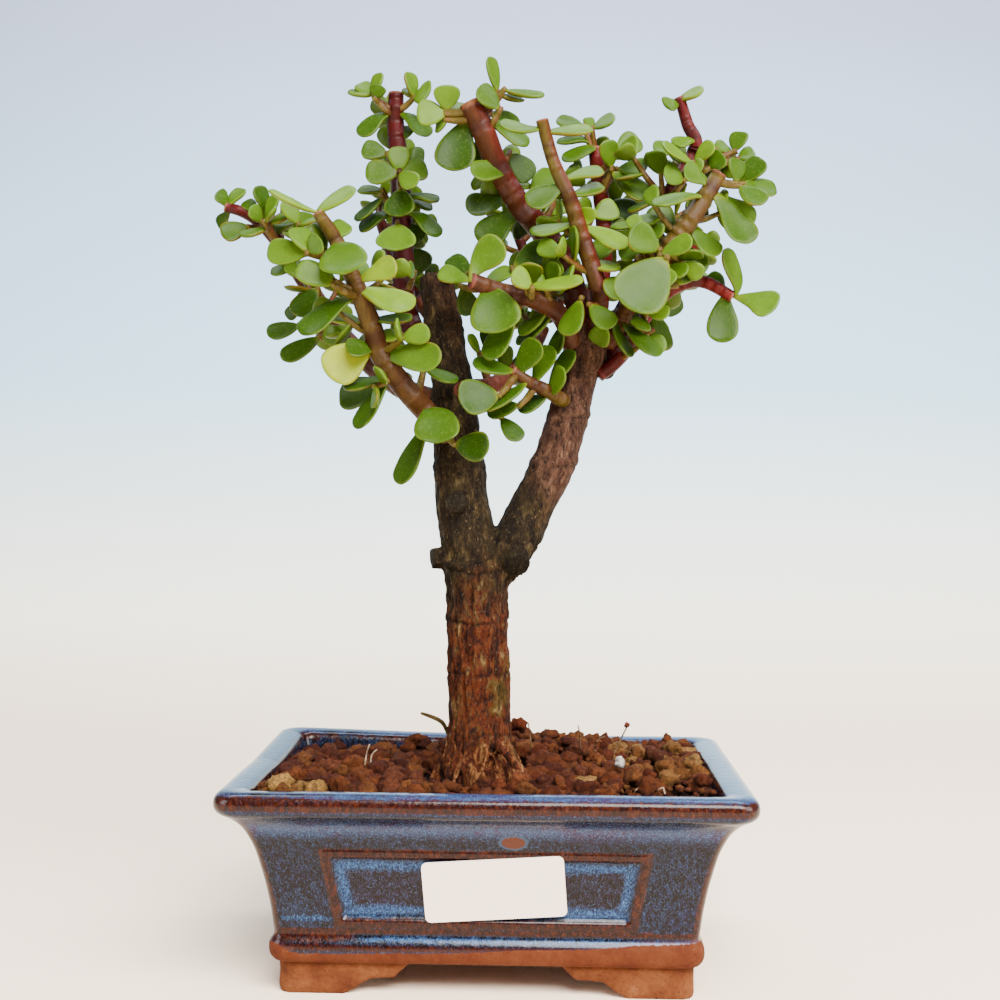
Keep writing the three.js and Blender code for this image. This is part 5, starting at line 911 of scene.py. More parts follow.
def inset_at(height):
    for (z0, inset0, _), (z1, inset1, _) in zip(WALL_OUTLINE[BAND_RINGS:], WALL_OUTLINE[BAND_RINGS + 1:]):
        if z1 >= height:
            return inset0 + (inset1 - inset0) * (height - z0) / (z1 - z0)
    return 0


def smooth_step(value, low, high):
    t = clamp((value - low) / (high - low))
    return t * t * (3 - 2 * t)


def into_panel(u, z, half_wall):
    """Distance from a panel's outer edge, positive inside it."""
    half_top = half_wall - inset_at(PANEL_TOP) - PANEL_MARGIN + 0.5
    share = (z - PANEL_BOTTOM) / (PANEL_TOP - PANEL_BOTTOM)
    half = half_top - PANEL_TAPER * (1 - share)
    return min(half - abs(u), z - PANEL_BOTTOM, PANEL_TOP - z)


def panel_relief(inside):
    """How far the wall stands out at a distance inside the panel's edge."""
    up = smooth_step(inside, -0.5, 0.9)
    down = smooth_step(inside, FRAME_WIDTH - 0.9, FRAME_WIDTH + 0.9)
    return FRAME_RISE * up - (FRAME_RISE + FIELD_DEPTH) * down


def near(value, centre, width):
    """A soft peak: 1 at the centre, 0 a width away."""
    return 1 - smooth_step(abs(value - centre), 0, width)


print("relief across a frame:", [round(panel_relief(i), 2) for i in range(-1, 6)])

# %% Thin and pooled glaze
NOT_IN_PANEL = -9
OUTSIDE_INSET = 20
HEM = 17.5
BAND_EDGE = 21.9
NECK = 55.3
UNDER_LIP = 63.2
LIP = 67.6
RIM_TOP = 69.2


def glaze_line(x, y):
    """The height down to which the glaze has run: lowest at the front left."""
    front = smooth_step(-y, 30, 45)
    lean = 0.05 * max(0, x) + 0.025 * min(0, x) + 3.5 * smooth_step(-x, 62, 72)
    return HEM + front * (lean - 1.5) + 0.8 * noise.noise((x * 0.05, y * 0.05, 2))


def glaze_on(turn, z, inset, inside, x, y):
    """(thin, pool, dark) at a point of the wall, each from 0 to 1: thin and pooled glaze, and dark, which is
    painted shade under the lip, inside the rim and on the rim top.
    """
    wavy = noise.noise((x * 0.06, y * 0.06, z * 0.15))
    quick = noise.noise((x * 0.2, y * 0.2, z * 0.3))
    corner = math.sin(math.pi * (turn % 1)) if int(turn) % 2 else 0
    thin = near(z, LIP + 0.4 * wavy, 4.6) if inset < 3.4 else 0
    pool = 0
    # Painted shade under the lip of the rim
    dark = near(z, UNDER_LIP + 0.5 * wavy, 7) if inset < 9 and z < 66 else 0
    if inset < OUTSIDE_INSET and 12 < z < 63:
        below = smooth_step(x + 8 * wavy, -58, -34)
        ridge = near(inside, FRAME_WIDTH * 0.42, 3.3) * (1 + 0.3 * quick)
        above_band = 0.95 * near(z, BAND_EDGE + 0.4 * wavy, 1.8)
        over_band = 0.9 * (1 - below) * near(z, BAND_EDGE - 1.9, 4)
        thin = max(thin, 0.8 * corner, ridge, above_band, 0.8 * near(z, 16.6, 2.2), over_band)
        in_frame = near(inside, FRAME_WIDTH + 2.6, 5 + 1.5 * wavy)
        on_band = near(z, BAND_EDGE - 2.7 + 0.5 * wavy, 1.9) * below
        on_neck = (0.2 + 0.35 * wavy - 0.003 * x) * near(z, NECK, 4.4)
        low_left = (0.75 + 0.5 * wavy) * near(z, 26, 2.7) * smooth_step(-x, -45, 10)
        flat = 1 - corner
        pool = max(in_frame, on_band * flat, on_neck * (1 - 0.7 * corner), low_left * flat)
    if inset > 1.6 and z > RIM_TOP:
        pool = max(pool, 0.22 * smooth_step(inset, 1.6, 3))
        # Painted shade on the rim top, most at the left
        dark = max(dark, 0.3 + 0.65 * smooth_step(-x, 10, 70) * (0.8 + quick))
    if inset > 7 and z > 60:
        thin = max(thin, near(inset, RIM_WIDTH - 0.4, 1.5) * (0.75 + 1.2 * quick))
    # Painted shade down the inner side of the rim, where the pooled blue is also weakened
    under_neck = smooth_step(inset, 7.5, 11)
    return thin, pool * (1 - 0.6 * under_neck), max(dark, under_neck)


def bare_spot(spot):
    """A small place on the front neck where the glaze has crawled off the clay, wider than high."""
    return max(0, 1.5 - math.hypot((spot.x - 9.3) / 4.2, (spot.z - 53.9) / 2.3))


def warped(spot):
    """The kiln has lifted the back left of the rim a little."""
    back_left = max(0, -spot.x / HALF_LENGTH) * max(0, spot.y / HALF_DEPTH)
    lift = 2.4 * back_left * (spot.z / POT_HEIGHT) ** 2
    swell = 0.25 * noise.noise((spot.x * 0.03, spot.y * 0.03, spot.z * 0.05))
    return Vector((spot.x * (1 + 0.004 * swell), spot.y, spot.z + lift + 0.6 * swell * (spot.z > 30)))


print("the glaze ends at the front left at", round(glaze_line(-60, -50), 1), "mm")

# %% Draw the wall up, ring by ring
bm = bmesh.new()
layers = number_layers(bm, "turn", "thin", "pool", "field", "dark", "milk", "glazed", "flaw")
turns = ring_turns()
ring_verts = bmesh.ops.create_circle(bm, segments=len(turns), radius=1)["verts"]
for vert, turn in zip(ring_verts, turns):
    vert[layers["turn"]] = turn
ring_edges = list(bm.edges)
first_ring = list(ring_edges)
for number, (z, inset, radius) in enumerate(RINGS):
    if number:
        grown = bmesh.ops.extrude_edge_only(bm, edges=ring_edges)["geom"]
        ring_verts = verts_in(grown)
        ring_edges = [item for item in grown if isinstance(item, bmesh.types.BMEdge)]
    for vert in ring_verts:
        turn = vert[layers["turn"]]
        spot = ring_point(turn, z, inset, radius)
        side = int(turn)
        u, half_wall, out = spot.x, HALF_LENGTH, Vector((0, math.copysign(1, spot.y), 0))
        if side not in (0, 4):
            u, half_wall, out = spot.y, HALF_DEPTH, Vector((math.copysign(1, spot.x), 0, 0))
        straight = side % 2 == 0 and inset < OUTSIDE_INSET and 20 < z < 56
        inside = into_panel(u, z, half_wall) if straight else NOT_IN_PANEL
        thin, pool, dark = glaze_on(turn, z, inset, inside, spot.x, spot.y)
        numbers = {
            "thin": thin, "pool": pool, "dark": dark,
            "field": smooth_step(inside, FRAME_WIDTH, FRAME_WIDTH + 3),
            # A painted reflection, pale and milky, at the right end of the rim
            "milk": smooth_step(spot.x, 70, 80) * (2.2 < inset < 10 and z > 68),
            "glazed": clamp(0.5 + (z - glaze_line(spot.x, spot.y)) / 8),
            "flaw": bare_spot(spot) if spot.y < -40 and inset < OUTSIDE_INSET else 0}
        for name, value in numbers.items():
            vert[layers[name]] = value
        vert.co = warped(spot + out * panel_relief(inside))
bmesh.ops.bridge_loops(bm, edges=first_ring + ring_edges)
face_outward(bm)
pot_wall = bm
print("pot wall:", len(pot_wall.faces), "faces")

# %% [markdown]
# ## Glaze and bare clay
#
# The glaze is a mottled blue over a darker purple brown, with fine speckles, and glassy. The
# clay is bare below it, so one finish mixes the two by height. The mottling is noise at four
# sizes, three of them stretched downwards, because the glaze has run.

# %% The finish of the pot
GLAZE_PLUM = tone(62, 27, 53)
GLAZE_SLATE = tone(40, 43, 82)
GLAZE_STEEL = tone(46, 64, 98)
GLAZE_MAROON = tone(68, 23, 41)
# Colour of the painted shade on the glaze
GLAZE_PAINTED_SHADE = tone(13, 7, 10)
GLAZE_FLECK = tone(68, 98, 134)
GLAZE_PIT = tone(22, 9, 15)
GLAZE_DEEP = tone(18, 40, 82)
GLAZE_BRIGHT = tone(58, 102, 147)
# Milky blue: crawled glaze by the bare spot, and the colour of the painted reflection on the rim
GLAZE_MILK_AND_REFLECTION = tone(50, 70, 92)
GLAZE_LILAC = tone(84, 60, 72)
FLAW_CLAY = tone(72, 38, 26)


def clay_colour(clay, spot):
    """Bare fired clay: terracotta, scorched in patches, with dark pits."""
    patch = clay.noise(spot, 0.08, detail=6, roughness=0.75)
    pits = clay.noise(spot, 0.7, detail=4, roughness=0.8)
    warm = clay.ramp(patch, (0.3, 63, 31, 15), (0.48, 88, 49, 25), (0.62, 101, 61, 35), (0.75, 111, 83, 57))
    warm = clay.over(warm, tone(58, 26, 14), pits, 0.44, 0.32, 0, 0.85)
    warm = clay.over(warm, tone(66, 24, 10), clay.axis(spot, "Z"), 8.5, 12, 0, 0.5)
    return clay.over(warm, tone(170, 110, 70), pits, 0.62, 0.74, 0, 0.4)


def pot_finish():
    glaze = Finish("glazed_stoneware", roughness=0.2, specular=0.16)
    spot = glaze.place()
    run = glaze.place(upward=0.6)
    thin, pool, field, dark, milk, glazed, flaw = (
        glaze.attribute(name) for name in ("thin", "pool", "field", "dark", "milk", "glazed", "flaw"))
    speckle = glaze.noise(run, 2, detail=3, roughness=0.75)
    mottle = glaze.noise(run, 0.7, detail=5, roughness=0.75)
    streak = glaze.noise(glaze.place(upward=0.25), 0.35, detail=4, roughness=0.65)
    cloud = glaze.noise(spot, 0.06, detail=3, roughness=0.6)
    # The body: plum and slate, steel where it is cloudy, darker in the fields, and painted shade under the
    # lip, inside the rim and on the rim top
    body = glaze.over(GLAZE_PLUM, GLAZE_SLATE, mottle, 0.38, 0.62)
    body = glaze.over(body, GLAZE_STEEL, glaze.plus(cloud, streak), 0.8, 1.06, 0.1, 0.95)
    in_field = glaze.times(field, glaze.level(mottle, 0.62, 0.4, 0.25, 0.75))
    body = glaze.mix(in_field, body, GLAZE_MAROON)
    # Painted shade, mottled, where the dark number is high
    in_painted_shade = glaze.times(dark, glaze.level(mottle, 0.66, 0.42, 0.7, 1))
    body = glaze.mix(in_painted_shade, body, GLAZE_PAINTED_SHADE)
    light = glaze.level(speckle, 0.45, 0.63, 0, 0.68)
    light = glaze.sum("SUBTRACT", light, glaze.times(dark, 0.45), clamp=True)
    body = glaze.mix(light, body, GLAZE_FLECK)
    body = glaze.over(body, GLAZE_PIT, speckle, 0.46, 0.33, 0, 0.45)
    # Bright blue where it has pooled, rust where it runs thin, and a pale painted reflection at the right
    # end of the rim
    pooled = glaze.over(GLAZE_DEEP, GLAZE_BRIGHT, speckle, 0.4, 0.6)
    body = glaze.over(body, pooled, glaze.plus(pool, glaze.swing(mottle, 0.5)), 0.15, 0.6, 0, 0.92)
    rust = glaze.ramp(mottle, (0.3, 16, 6, 4), (0.48, 36, 14, 7), (0.62, 58, 27, 13), (0.74, 78, 43, 21))
    rust = glaze.over(rust, GLAZE_STEEL, speckle, 0.54, 0.68, 0, 0.2)
    body = glaze.over(body, rust, glaze.plus(thin, glaze.swing(mottle, 0.6)), 0.32, 0.66)
    # A pale painted reflection at the right end of the rim, mottled
    painted_reflection_share = glaze.times(milk, glaze.level(mottle, 0.4, 0.6, 0.15, 0.65))
    body = glaze.mix(painted_reflection_share, body, GLAZE_MILK_AND_REFLECTION)
    # Its lower edge, the bare spot on the neck, and the clay
    height = glaze.plus(glazed, glaze.swing(mottle, 0.25))
    to_right = glaze.level(glaze.axis(spot, "X"), 24, 62, 0.1, 0.6)
    lilac = glaze.times(glaze.level(height, 0.72, 0.5), to_right)
    body = glaze.mix(lilac, body, GLAZE_LILAC)
    crawled = glaze.plus(flaw, glaze.swing(mottle, 0.5))
    body = glaze.over(body, GLAZE_MILK_AND_REFLECTION, crawled, 0.2, 0.42, 0, 0.7)
    body = glaze.over(body, FLAW_CLAY, crawled, 0.5, 0.6)
    bare = glaze.level(height, 0.51, 0.49)
    skin = glaze.mix(bare, body, clay_colour(glaze, spot))
    relief = glaze.bump(glaze.noise(spot, 0.35, detail=3), 0.35, 0.5)
    grain = glaze.noise(spot, 2.2, detail=3, roughness=0.7)
    relief = glaze.bump(grain, 0.12, glaze.level(bare, 0, 1, 0.1, 0.9), under=relief)
    rough = glaze.plus(glaze.level(bare, 0, 1, 0.2, 0.8), glaze.level(speckle, 0.4, 0.7, 0, 0.1))
    coat = glaze.level(bare, 0, 1, 0.12, 0)
    return glaze.wear(Base_Color=skin, Roughness=rough, Normal=relief, Coat_Weight=coat,
                      Coat_Roughness=0.1)


GLAZE = pot_finish()
finished("pot_wall", pot_wall, GLAZE, "glazed_stoneware", "pot")

# %% [markdown]
# ## The pot's floor and feet
#
# The feet are bracket feet: a block under the whole tray, hollowed from below and cut through by
# an arch from front to back and from side to side. Cutting is a job for the Boolean modifier.
# A remesh then turns the sharp block into an even skin, which is smoothed and roughened as
# hand-cut clay is.

# %% A smooth skin
def even_skin(made, voxel_size):
    """The mesh of an object, melted into one even skin and smoothed; the object is removed."""
    remesh = made.modifiers.new("remesh", "REMESH")
    remesh.mode = "VOXEL"
    remesh.voxel_size = voxel_size
    graph = bpy.context.evaluated_depsgraph_get()
    bm = bmesh.new()
    bm.from_mesh(bpy.data.meshes.new_from_object(made.evaluated_get(graph)))
    bpy.data.objects.remove(made)
    for _ in range(2):
        bmesh.ops.smooth_vert(bm, verts=bm.verts, factor=0.5, use_axis_x=True, use_axis_y=True,
                              use_axis_z=True)
    bm.normal_update()
    return bm


# %% Helpers that cut
FOOT_INSET = 19.5
FOOT_WALL = 13
FOOT_CORNER = 5
ARCH_TOP = FOOT_HEIGHT - 0.3
SIDE_ARCH_WIDENING = 11
DRAIN_RADIUS = 7
DRAIN_OFFSET = 38


def rounded_block(half_x, half_y, radius, low, high, name):
    bm = bmesh.new()
    bmesh.ops.create_cube(bm, size=2)
    for vert in bm.verts:
        vert.co = Vector((vert.co.x * half_x, vert.co.y * half_y, low if vert.co.z < 0 else high))
    upright = [edge for edge in bm.edges if abs(edge.verts[0].co.z - edge.verts[1].co.z) > 1e-6]
    bmesh.ops.bevel(bm, geom=upright, offset=radius, segments=6, affect="EDGES", profile=0.5, material=-1)
    return placed(name, as_mesh(bm, name))


def arch_cutter(half, turned, name):
    """The open arch between two bracket feet, as a bar that runs right through the pot."""
    side = [(half - 23, -1), (half - 23, 0), (half - 27, 2.2), (half - 31, 5), (half - 40, 5.8),
            (half - 44.5, ARCH_TOP)]
    outline = side + [(-x, z) for x, z in reversed(side)]
    bm = bmesh.new()
    face = bm.faces.new([bm.verts.new((x, -120, z)) for x, z in outline])
    grown = bmesh.ops.extrude_face_region(bm, geom=[face])["geom"]
    bmesh.ops.translate(bm, vec=(0, 240, 0), verts=verts_in(grown))
    if turned:
        bmesh.ops.rotate(bm, matrix=Matrix.Rotation(math.pi / 2, 3, "Z"), verts=bm.verts)
    face_outward(bm)
    return placed(name, as_mesh(bm, name))


def drain_cutter(offset, name):
    bm = bmesh.new()
    bmesh.ops.create_cone(bm, cap_ends=True, segments=32, radius1=DRAIN_RADIUS, radius2=DRAIN_RADIUS,
                          depth=40, matrix=Matrix.Translation((offset, 0, 12)))
    return placed(name, as_mesh(bm, name))


print("drain holes", 2 * DRAIN_RADIUS, "mm wide")

# %% The feet
half_x, half_y = HALF_LENGTH - FOOT_INSET, HALF_DEPTH - FOOT_INSET
base = rounded_block(half_x, half_y, FOOT_CORNER, 0, FLOOR_TOP, "pot_base_rough")
cutters = [
    rounded_block(half_x - FOOT_WALL, half_y - FOOT_WALL, FOOT_CORNER + 1, -1, ARCH_TOP, "cut_hollow"),
    arch_cutter(half_x, False, "cut_front"),
    arch_cutter(half_y + SIDE_ARCH_WIDENING, True, "cut_side"),
    drain_cutter(-DRAIN_OFFSET, "cut_drain_left"),
    drain_cutter(DRAIN_OFFSET, "cut_drain_right"),
]
for cutter in cutters:
    modifier = base.modifiers.new(cutter.name, "BOOLEAN")
    modifier.operation = "DIFFERENCE"
    modifier.object = cutter
bm = even_skin(base, 1.0)
for cutter in cutters:
    bpy.data.objects.remove(cutter)
for vert in bm.verts:
    rough = noise.noise(vert.co * 0.16) * 0.5 + noise.noise(vert.co * 0.6) * 0.16
    vert.co += vert.normal * rough * smooth_step(vert.co.z, 0.2, 2)
    vert.co.z = max(0, vert.co.z)
finished("pot_base", bm, GLAZE, "glazed_stoneware", "pot")

# %% [markdown]
# ## Drain screens
#
# The two squares of plastic mesh lie over the drain holes, under the soil. Their plain shape is
# right, so they keep it and only get a finish.

# %% Drain screens
plastic = Finish("screen_plastic", roughness=0.55)
grain = plastic.noise(plastic.place(), 2.5, detail=2)
SCREEN_PLASTIC = plastic.wear(Base_Color=plastic.mix(grain, tone(28, 30, 32), tone(52, 54, 56)),
                              Normal=plastic.bump(grain, 0.05, 0.4))
for name in ("drain_screen_left", "drain_screen_right"):
    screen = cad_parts[name]
    screen.data.materials.clear()
    screen.data.materials.append(SCREEN_PLASTIC)
print("two screens of dark plastic")

# %% [markdown]
# ## Soil
#
# Bonsai soil is baked clay in rough granules of 5 to 8 mm, over finer grains. A few granule
# shapes are made from a sphere whose points are pushed in and out by noise, and each is laid
# down many times, turned and stretched at random. Under them lies a bed, so that no gap shows
# through; it stands for deeper granules and is made dark with painted shade.

# %% The level and the finish of the soil
SOIL_LEVEL = 67.5
MOUND_HEIGHT = 7.5
SOIL_LEAN = (0.022, 0.012)
BED_BOTTOM = 52
INNER_X = HALF_LENGTH - RIM_WIDTH - 1.2
INNER_Y = HALF_DEPTH - RIM_WIDTH - 1.2
TRUNK_FOOT = Vector((-4, -19, 0))


def soil_level(x, y):
    """The soil is heaped round the trunk, and lower at the back and in the front right corner."""
    mound = MOUND_HEIGHT * math.exp(-(((x - 8) / 36) ** 2 + ((y - 14) / 26) ** 2))
    corner = 2.2 * smooth_step(x, 38, 62) * smooth_step(-y, 12, 34)
    back = (1.6 + 2 * smooth_step(-x, -15, 20)) * smooth_step(y, 18, 50)
    return SOIL_LEVEL + mound + SOIL_LEAN[0] * x + SOIL_LEAN[1] * y - corner - back


def soil_finish():
    soil = Finish("clay_granules", roughness=0.95, specular=0.12)
    spot = soil.place()
    grain = soil.noise(spot, 0.8, detail=6, roughness=0.75)
    crumb = soil.noise(spot, 2.4, detail=4, roughness=0.75)
    dust = soil.noise(spot, 0.25, detail=3, roughness=0.6)
    tint = soil.attribute("tint", "Color")
    colour = soil.over(soil.mix(0.7, tint, tone(24, 8, 4)), tint, grain, 0.34, 0.62)
    colour = soil.over(colour, soil.mix(0.5, tint, tone(157, 94, 54)), dust, 0.5, 0.7, 0, 0.15)
    colour = soil.over(colour, tone(24, 10, 5), crumb, 0.46, 0.32, 0, 0.75)
    colour = soil.over(colour, soil.mix(0.45, tint, tone(181, 128, 86)), crumb, 0.6, 0.76, 0, 0.5)
    relief = soil.bump(crumb, 0.5, 0.8, under=soil.bump(grain, 1.2, 0.9))
    return soil.wear(Base_Color=colour, Normal=relief)


CLAY_GRANULES = soil_finish()
print("the soil is highest near the trunk:", round(soil_level(8, 14), 1), "mm")

# %% The bed of the soil
# The bed's colour is the soil's dark brown, darkened further as painted shade in the gaps
BED_SOIL_AND_PAINTED_SHADE = tone(24, 13, 8)
BED_DEPTH = 1.6
BED_REACH_X = INNER_X + 0.6
BED_REACH_Y = INNER_Y + 0.6


def tinted_mesh():
    """An empty bmesh whose points carry a colour."""
    bm = bmesh.new()
    return bm, bm.verts.layers.float_color.new("tint")


bm, layer = tinted_mesh()
bmesh.ops.create_grid(bm, x_segments=110, y_segments=76, size=1)
for vert in bm.verts:
    x, y = vert.co.x * BED_REACH_X, vert.co.y * BED_REACH_Y
    crumbs = 1.2 * noise.noise((x * 0.5, y * 0.5, 3)) + 0.7 * noise.noise((x * 1.3, y * 1.3, 7))
    vert.co = Vector((x, y, soil_level(x, y) - BED_DEPTH + crumbs))
    vert[layer] = (*BED_SOIL_AND_PAINTED_SHADE, 1)
for vert in verts_in(bmesh.ops.extrude_face_region(bm, geom=list(bm.faces))["geom"]):
    vert.co = Vector((vert.co.x * 0.93, vert.co.y * 0.92, BED_BOTTOM))
face_outward(bm)
finished("soil_bed", bm, CLAY_GRANULES, "clay_granules", "soil")

# %% Granule shapes
SHAPES = 14


def granule_shape(number, segments, rings):
    bm = bmesh.new()
    bmesh.ops.create_uvsphere(bm, u_segments=segments, v_segments=rings, radius=1)
    shift = Vector((number * 7.3, number * 3.1, number * 5.7))
    for vert in bm.verts:
        lump = 0.6 * noise.noise(vert.co * 1.1 + shift) + 0.42 * noise.noise(vert.co * 2.6 + shift)
        facet = 0.2 * abs(noise.noise(vert.co * 4.6 - shift))
        vert.co *= 1 + lump + facet
    face_outward(bm)
    return as_mesh(bm, f"granule_{number}")


GRANULES = [granule_shape(number, 14, 9) for number in range(SHAPES)]
GRAINS = [granule_shape(40 + number, 6, 4) for number in range(6)]
print(len(GRANULES), "granule shapes and", len(GRAINS), "grain shapes")

# %% Lay the granules down
GRANULE_SPACING = 6.3
TRUNK_ROOM_BELOW = 15
CLAY_TINTS = [tone(78, 40, 20), tone(86, 47, 25), tone(68, 32, 17), tone(92, 55, 29), tone(80, 44, 29),
              tone(60, 29, 19)]
OCHRE_TINTS = [tone(120, 88, 50), tone(111, 75, 39), tone(99, 62, 31)]
# Places where pale granules lie: middle, reach and share of pale ones
OCHRE_PLACES = [((-70, -46), 9, 0.9), ((-58, -48), 7, 0.8), ((66, 4), 24, 0.6), ((40, -34), 10, 0.5),
                ((58, -14), 12, 0.35)]


def granule_tint(dice, x, y):
    for (cx, cy), reach, share in OCHRE_PLACES:
        if math.hypot(x - cx, y - cy) < reach and dice.random() < share:
            return dice.choice(OCHRE_TINTS)
    return dice.choice(CLAY_TINTS)


def lay(bm, layer, shape, spot, size, tint, dice):
    """Lays one granule down, turned and stretched at random, with painted shade towards its underside."""
    turn = Matrix.Rotation(dice.uniform(0, 6.28), 3, "Z") @ Matrix.Rotation(dice.uniform(0, 6.28), 3, "X")
    stretch = Matrix.Diagonal((1, dice.uniform(0.72, 1), dice.uniform(0.62, 0.9)))
    turned = turn @ stretch * (size / 2)
    shade = dice.uniform(0.8, 1.2)
    for vert in add_copy(bm, shape):
        vert.co = turned @ vert.co + spot
        # Painted shade: each granule is darkened towards its underside, where the granules shade each other
        painted_underside_shade = 0.42 + 0.58 * smooth_step(vert.co.z - spot.z, -0.22 * size, 0.18 * size)
        vert[layer] = (*(shade * painted_underside_shade * value for value in tint), 1)


def granule_field(name, seed, spacing, sizes, lift, keep, shapes):
    """Lays granules on a loose grid: a share to keep of them, lifted above the bed."""
    dice = random.Random(seed)
    bm, layer = tinted_mesh()
    columns = int(2 * INNER_X / spacing)
    rows = int(2 * INNER_Y / spacing)
    for row in range(rows + 1):
        for column in range(columns + 1):
            size = dice.uniform(*sizes)
            room_x, room_y = INNER_X - size * 0.42, INNER_Y - size * 0.42
            x = (column + dice.uniform(-0.42, 0.42)) * spacing - INNER_X
            y = (row + dice.uniform(-0.42, 0.42)) * spacing - INNER_Y
            x, y = clamp(x, -room_x, room_x), clamp(y, -room_y, room_y)
            from_trunk = math.hypot(x - TRUNK_FOOT.x, y - TRUNK_FOOT.y)
            if dice.random() > keep or from_trunk < TRUNK_ROOM_BELOW + size / 2:
                continue
            # Few large granules lie in the front right corner
            if spacing > 4 and x > 44 and y < -28 and dice.random() < 0.75:
                continue
            spot = Vector((x, y, soil_level(x, y) + lift + dice.uniform(-0.7, 0.9)))
            lay(bm, layer, dice.choice(shapes), spot, size, granule_tint(dice, x, y), dice)
    return finished(name, bm, CLAY_GRANULES, "clay_granules", "soil")


granule_field("soil_granules", 5, GRANULE_SPACING, (6, 9.2), 0.1, 1, GRANULES)
granule_field("soil_granules_top", 6, 9, (5.4, 8.4), 2.8, 0.45, GRANULES)
granule_field("soil_grains", 7, 3.4, (1.4, 3), 1.2, 0.8, GRAINS)

# %% [markdown]
# ## What lies on the soil
#
# A few single things lie on the granules: a white grain of pumice, one high granule beside the
# trunk, large ochre ones at the front left, and the seed of a small weed. Each is laid down from
# a list, with its place, its size and its colour.

# %% Single granules and the seed
GRANULES_BY_HAND = [
    ((10, -12, 86.5), 7, tone(78, 36, 19)), ((46, -22, 75.2), 4, tone(226, 214, 206)),
    ((11, -41, 72), 8.5, tone(105, 58, 34)), ((4, -44, 71), 5.5, tone(92, 47, 26)),
    ((-70, -47.5, 70.3), 9.5, tone(153, 114, 61)), ((-57.5, -48.5, 69.8), 7.5, tone(148, 108, 56)),
    ((-30, 22, 74.5), 7.5, tone(85, 44, 24)), ((49.9, 5, 84.2), 2.2, tone(105, 47, 42))]
dice = random.Random(12)
bm, layer = tinted_mesh()
for place, size, tint in GRANULES_BY_HAND:
    lay(bm, layer, dice.choice(GRANULES), Vector(place), size, tint, dice)
finished("soil_single", bm, CLAY_GRANULES, "clay_granules", "soil")

# %% [markdown]
# ## Trunk
#
# The trunk and its two stems grew as one. They begin as tubes along the same lines as the
# frame's trunk. A voxel remesh melts them into one even skin, and then every point is moved
# along its normal by a formula: a groove where a leaf pair once sat, which leaves a ring scar,
# ridges and cracks that run along the bark, and lumps.

# %% A tube along a line of points
def tube(points, sides, hollow=0.0):
    """A closed tube through (x, y, z, radius) points, made by extruding one round face.

    With a hollow, the last face gets a rim and is pushed in, as on a stem that was cut off."""
    bm = bmesh.new()
    bmesh.ops.create_circle(bm, cap_ends=True, segments=sides, radius=1)
    bm.faces.ensure_lookup_table()
    face = bm.faces[0]
    centre, heading = Vector((0, 0, 0)), Vector((0, 0, 1))
    radius = 1.0
    for number, (x, y, z, thick) in enumerate(points):
        if number:
            grown = bmesh.ops.extrude_face_region(bm, geom=[face])["geom"]
            face = next(item for item in grown if isinstance(item, bmesh.types.BMFace))
        ahead = Vector(points[min(number + 1, len(points) - 1)][:3])
        behind = Vector(points[max(number - 1, 0)][:3])
        new_heading = (ahead - behind).normalized()
        turn = heading.rotation_difference(new_heading).to_matrix()
        for vert in face.verts:
            vert.co = Vector((x, y, z)) + turn @ (vert.co - centre) * (thick / radius)
        centre, heading, radius = Vector((x, y, z)), new_heading, thick
    if hollow:
        bmesh.ops.inset_individual(bm, faces=[face], thickness=radius * 0.4, use_even_offset=True)
        bmesh.ops.translate(bm, vec=heading * -hollow, verts=face.verts)
    face_outward(bm)
    return bm


def smooth_line(points, step):
    """More points on the same smooth curve, about a step apart; without a step, the points."""
    if not step:
        return points
    line = []
    for i in range(len(points) - 1):
        far = length(sub(points[i + 1][:3], points[i][:3]))
        count = max(1, round(far / step))
        line += [along(points, i + k / count) for k in range(count)]
    return line + [tuple(points[-1])]


def add_part(bm, points, step, sides, hollow=0.0):
    """Adds a tube along the smooth curve through the points, and gives back its vertices."""
    return add_copy(bm, as_mesh(tube(smooth_line(points, step), sides, hollow), "part"))


print("points on a line of 10 mm, 3 mm apart:", len(smooth_line([(0, 0, 0, 1), (0, 0, 10, 1)], 3)))

# %% The lines of the trunk
LOWER_TRUNK = [
    (-3, -20, 58, 15), (-3, -20, 68, 14.8), (-4, -19, 77, 13.2), (-4, -18, 86, 11.4),
    (-4, -17, 104, 11.3), (-5, -17, 122, 11.2), (-5, -16, 136, 11.6), (-6, -16, 146, 12)]
LEFT_STEM = [
    (-5, -16, 134, 10.5), (-7.5, -15, 150, 10.2), (-10.6, -14, 164, 9.6), (-12, -13, 180, 9.1),
    (-14.2, -11, 203, 7.9), (-17.5, -9, 225, 6.9), (-21.5, -7, 249, 6.2)]
RIGHT_STEM = [
    (1, -16, 142, 7.8), (7.5, -15, 151, 8.3), (13.6, -12, 164, 8), (21.6, -10, 180, 7.8),
    (27.2, -6, 199, 7.4), (30.6, -4, 212, 6.8), (33, -3, 222, 8.2), (33, -3, 232, 7)]
STUBS = [
    ((-11, -14, 166), (-12, -27, 166.5), 4), ((-8, -15, 147), (-21.5, -19, 146.5), 4.2),
    ((8, -15, 150), (9.4, -24.5, 144.3), 5.3), ((33, -3, 228), (31, -8, 236), 4.2),
    ((33, -2, 220), (43, 3, 216), 4.4)]
ROOTS = [
    (-95, 17, 2.8), (-62, 18, 2.9), (-128, 16, 2.7), (-20, 17, 3), (-165, 16, 2.8),
    (30, 17, 2.8), (80, 18, 3), (135, 17, 2.8)]
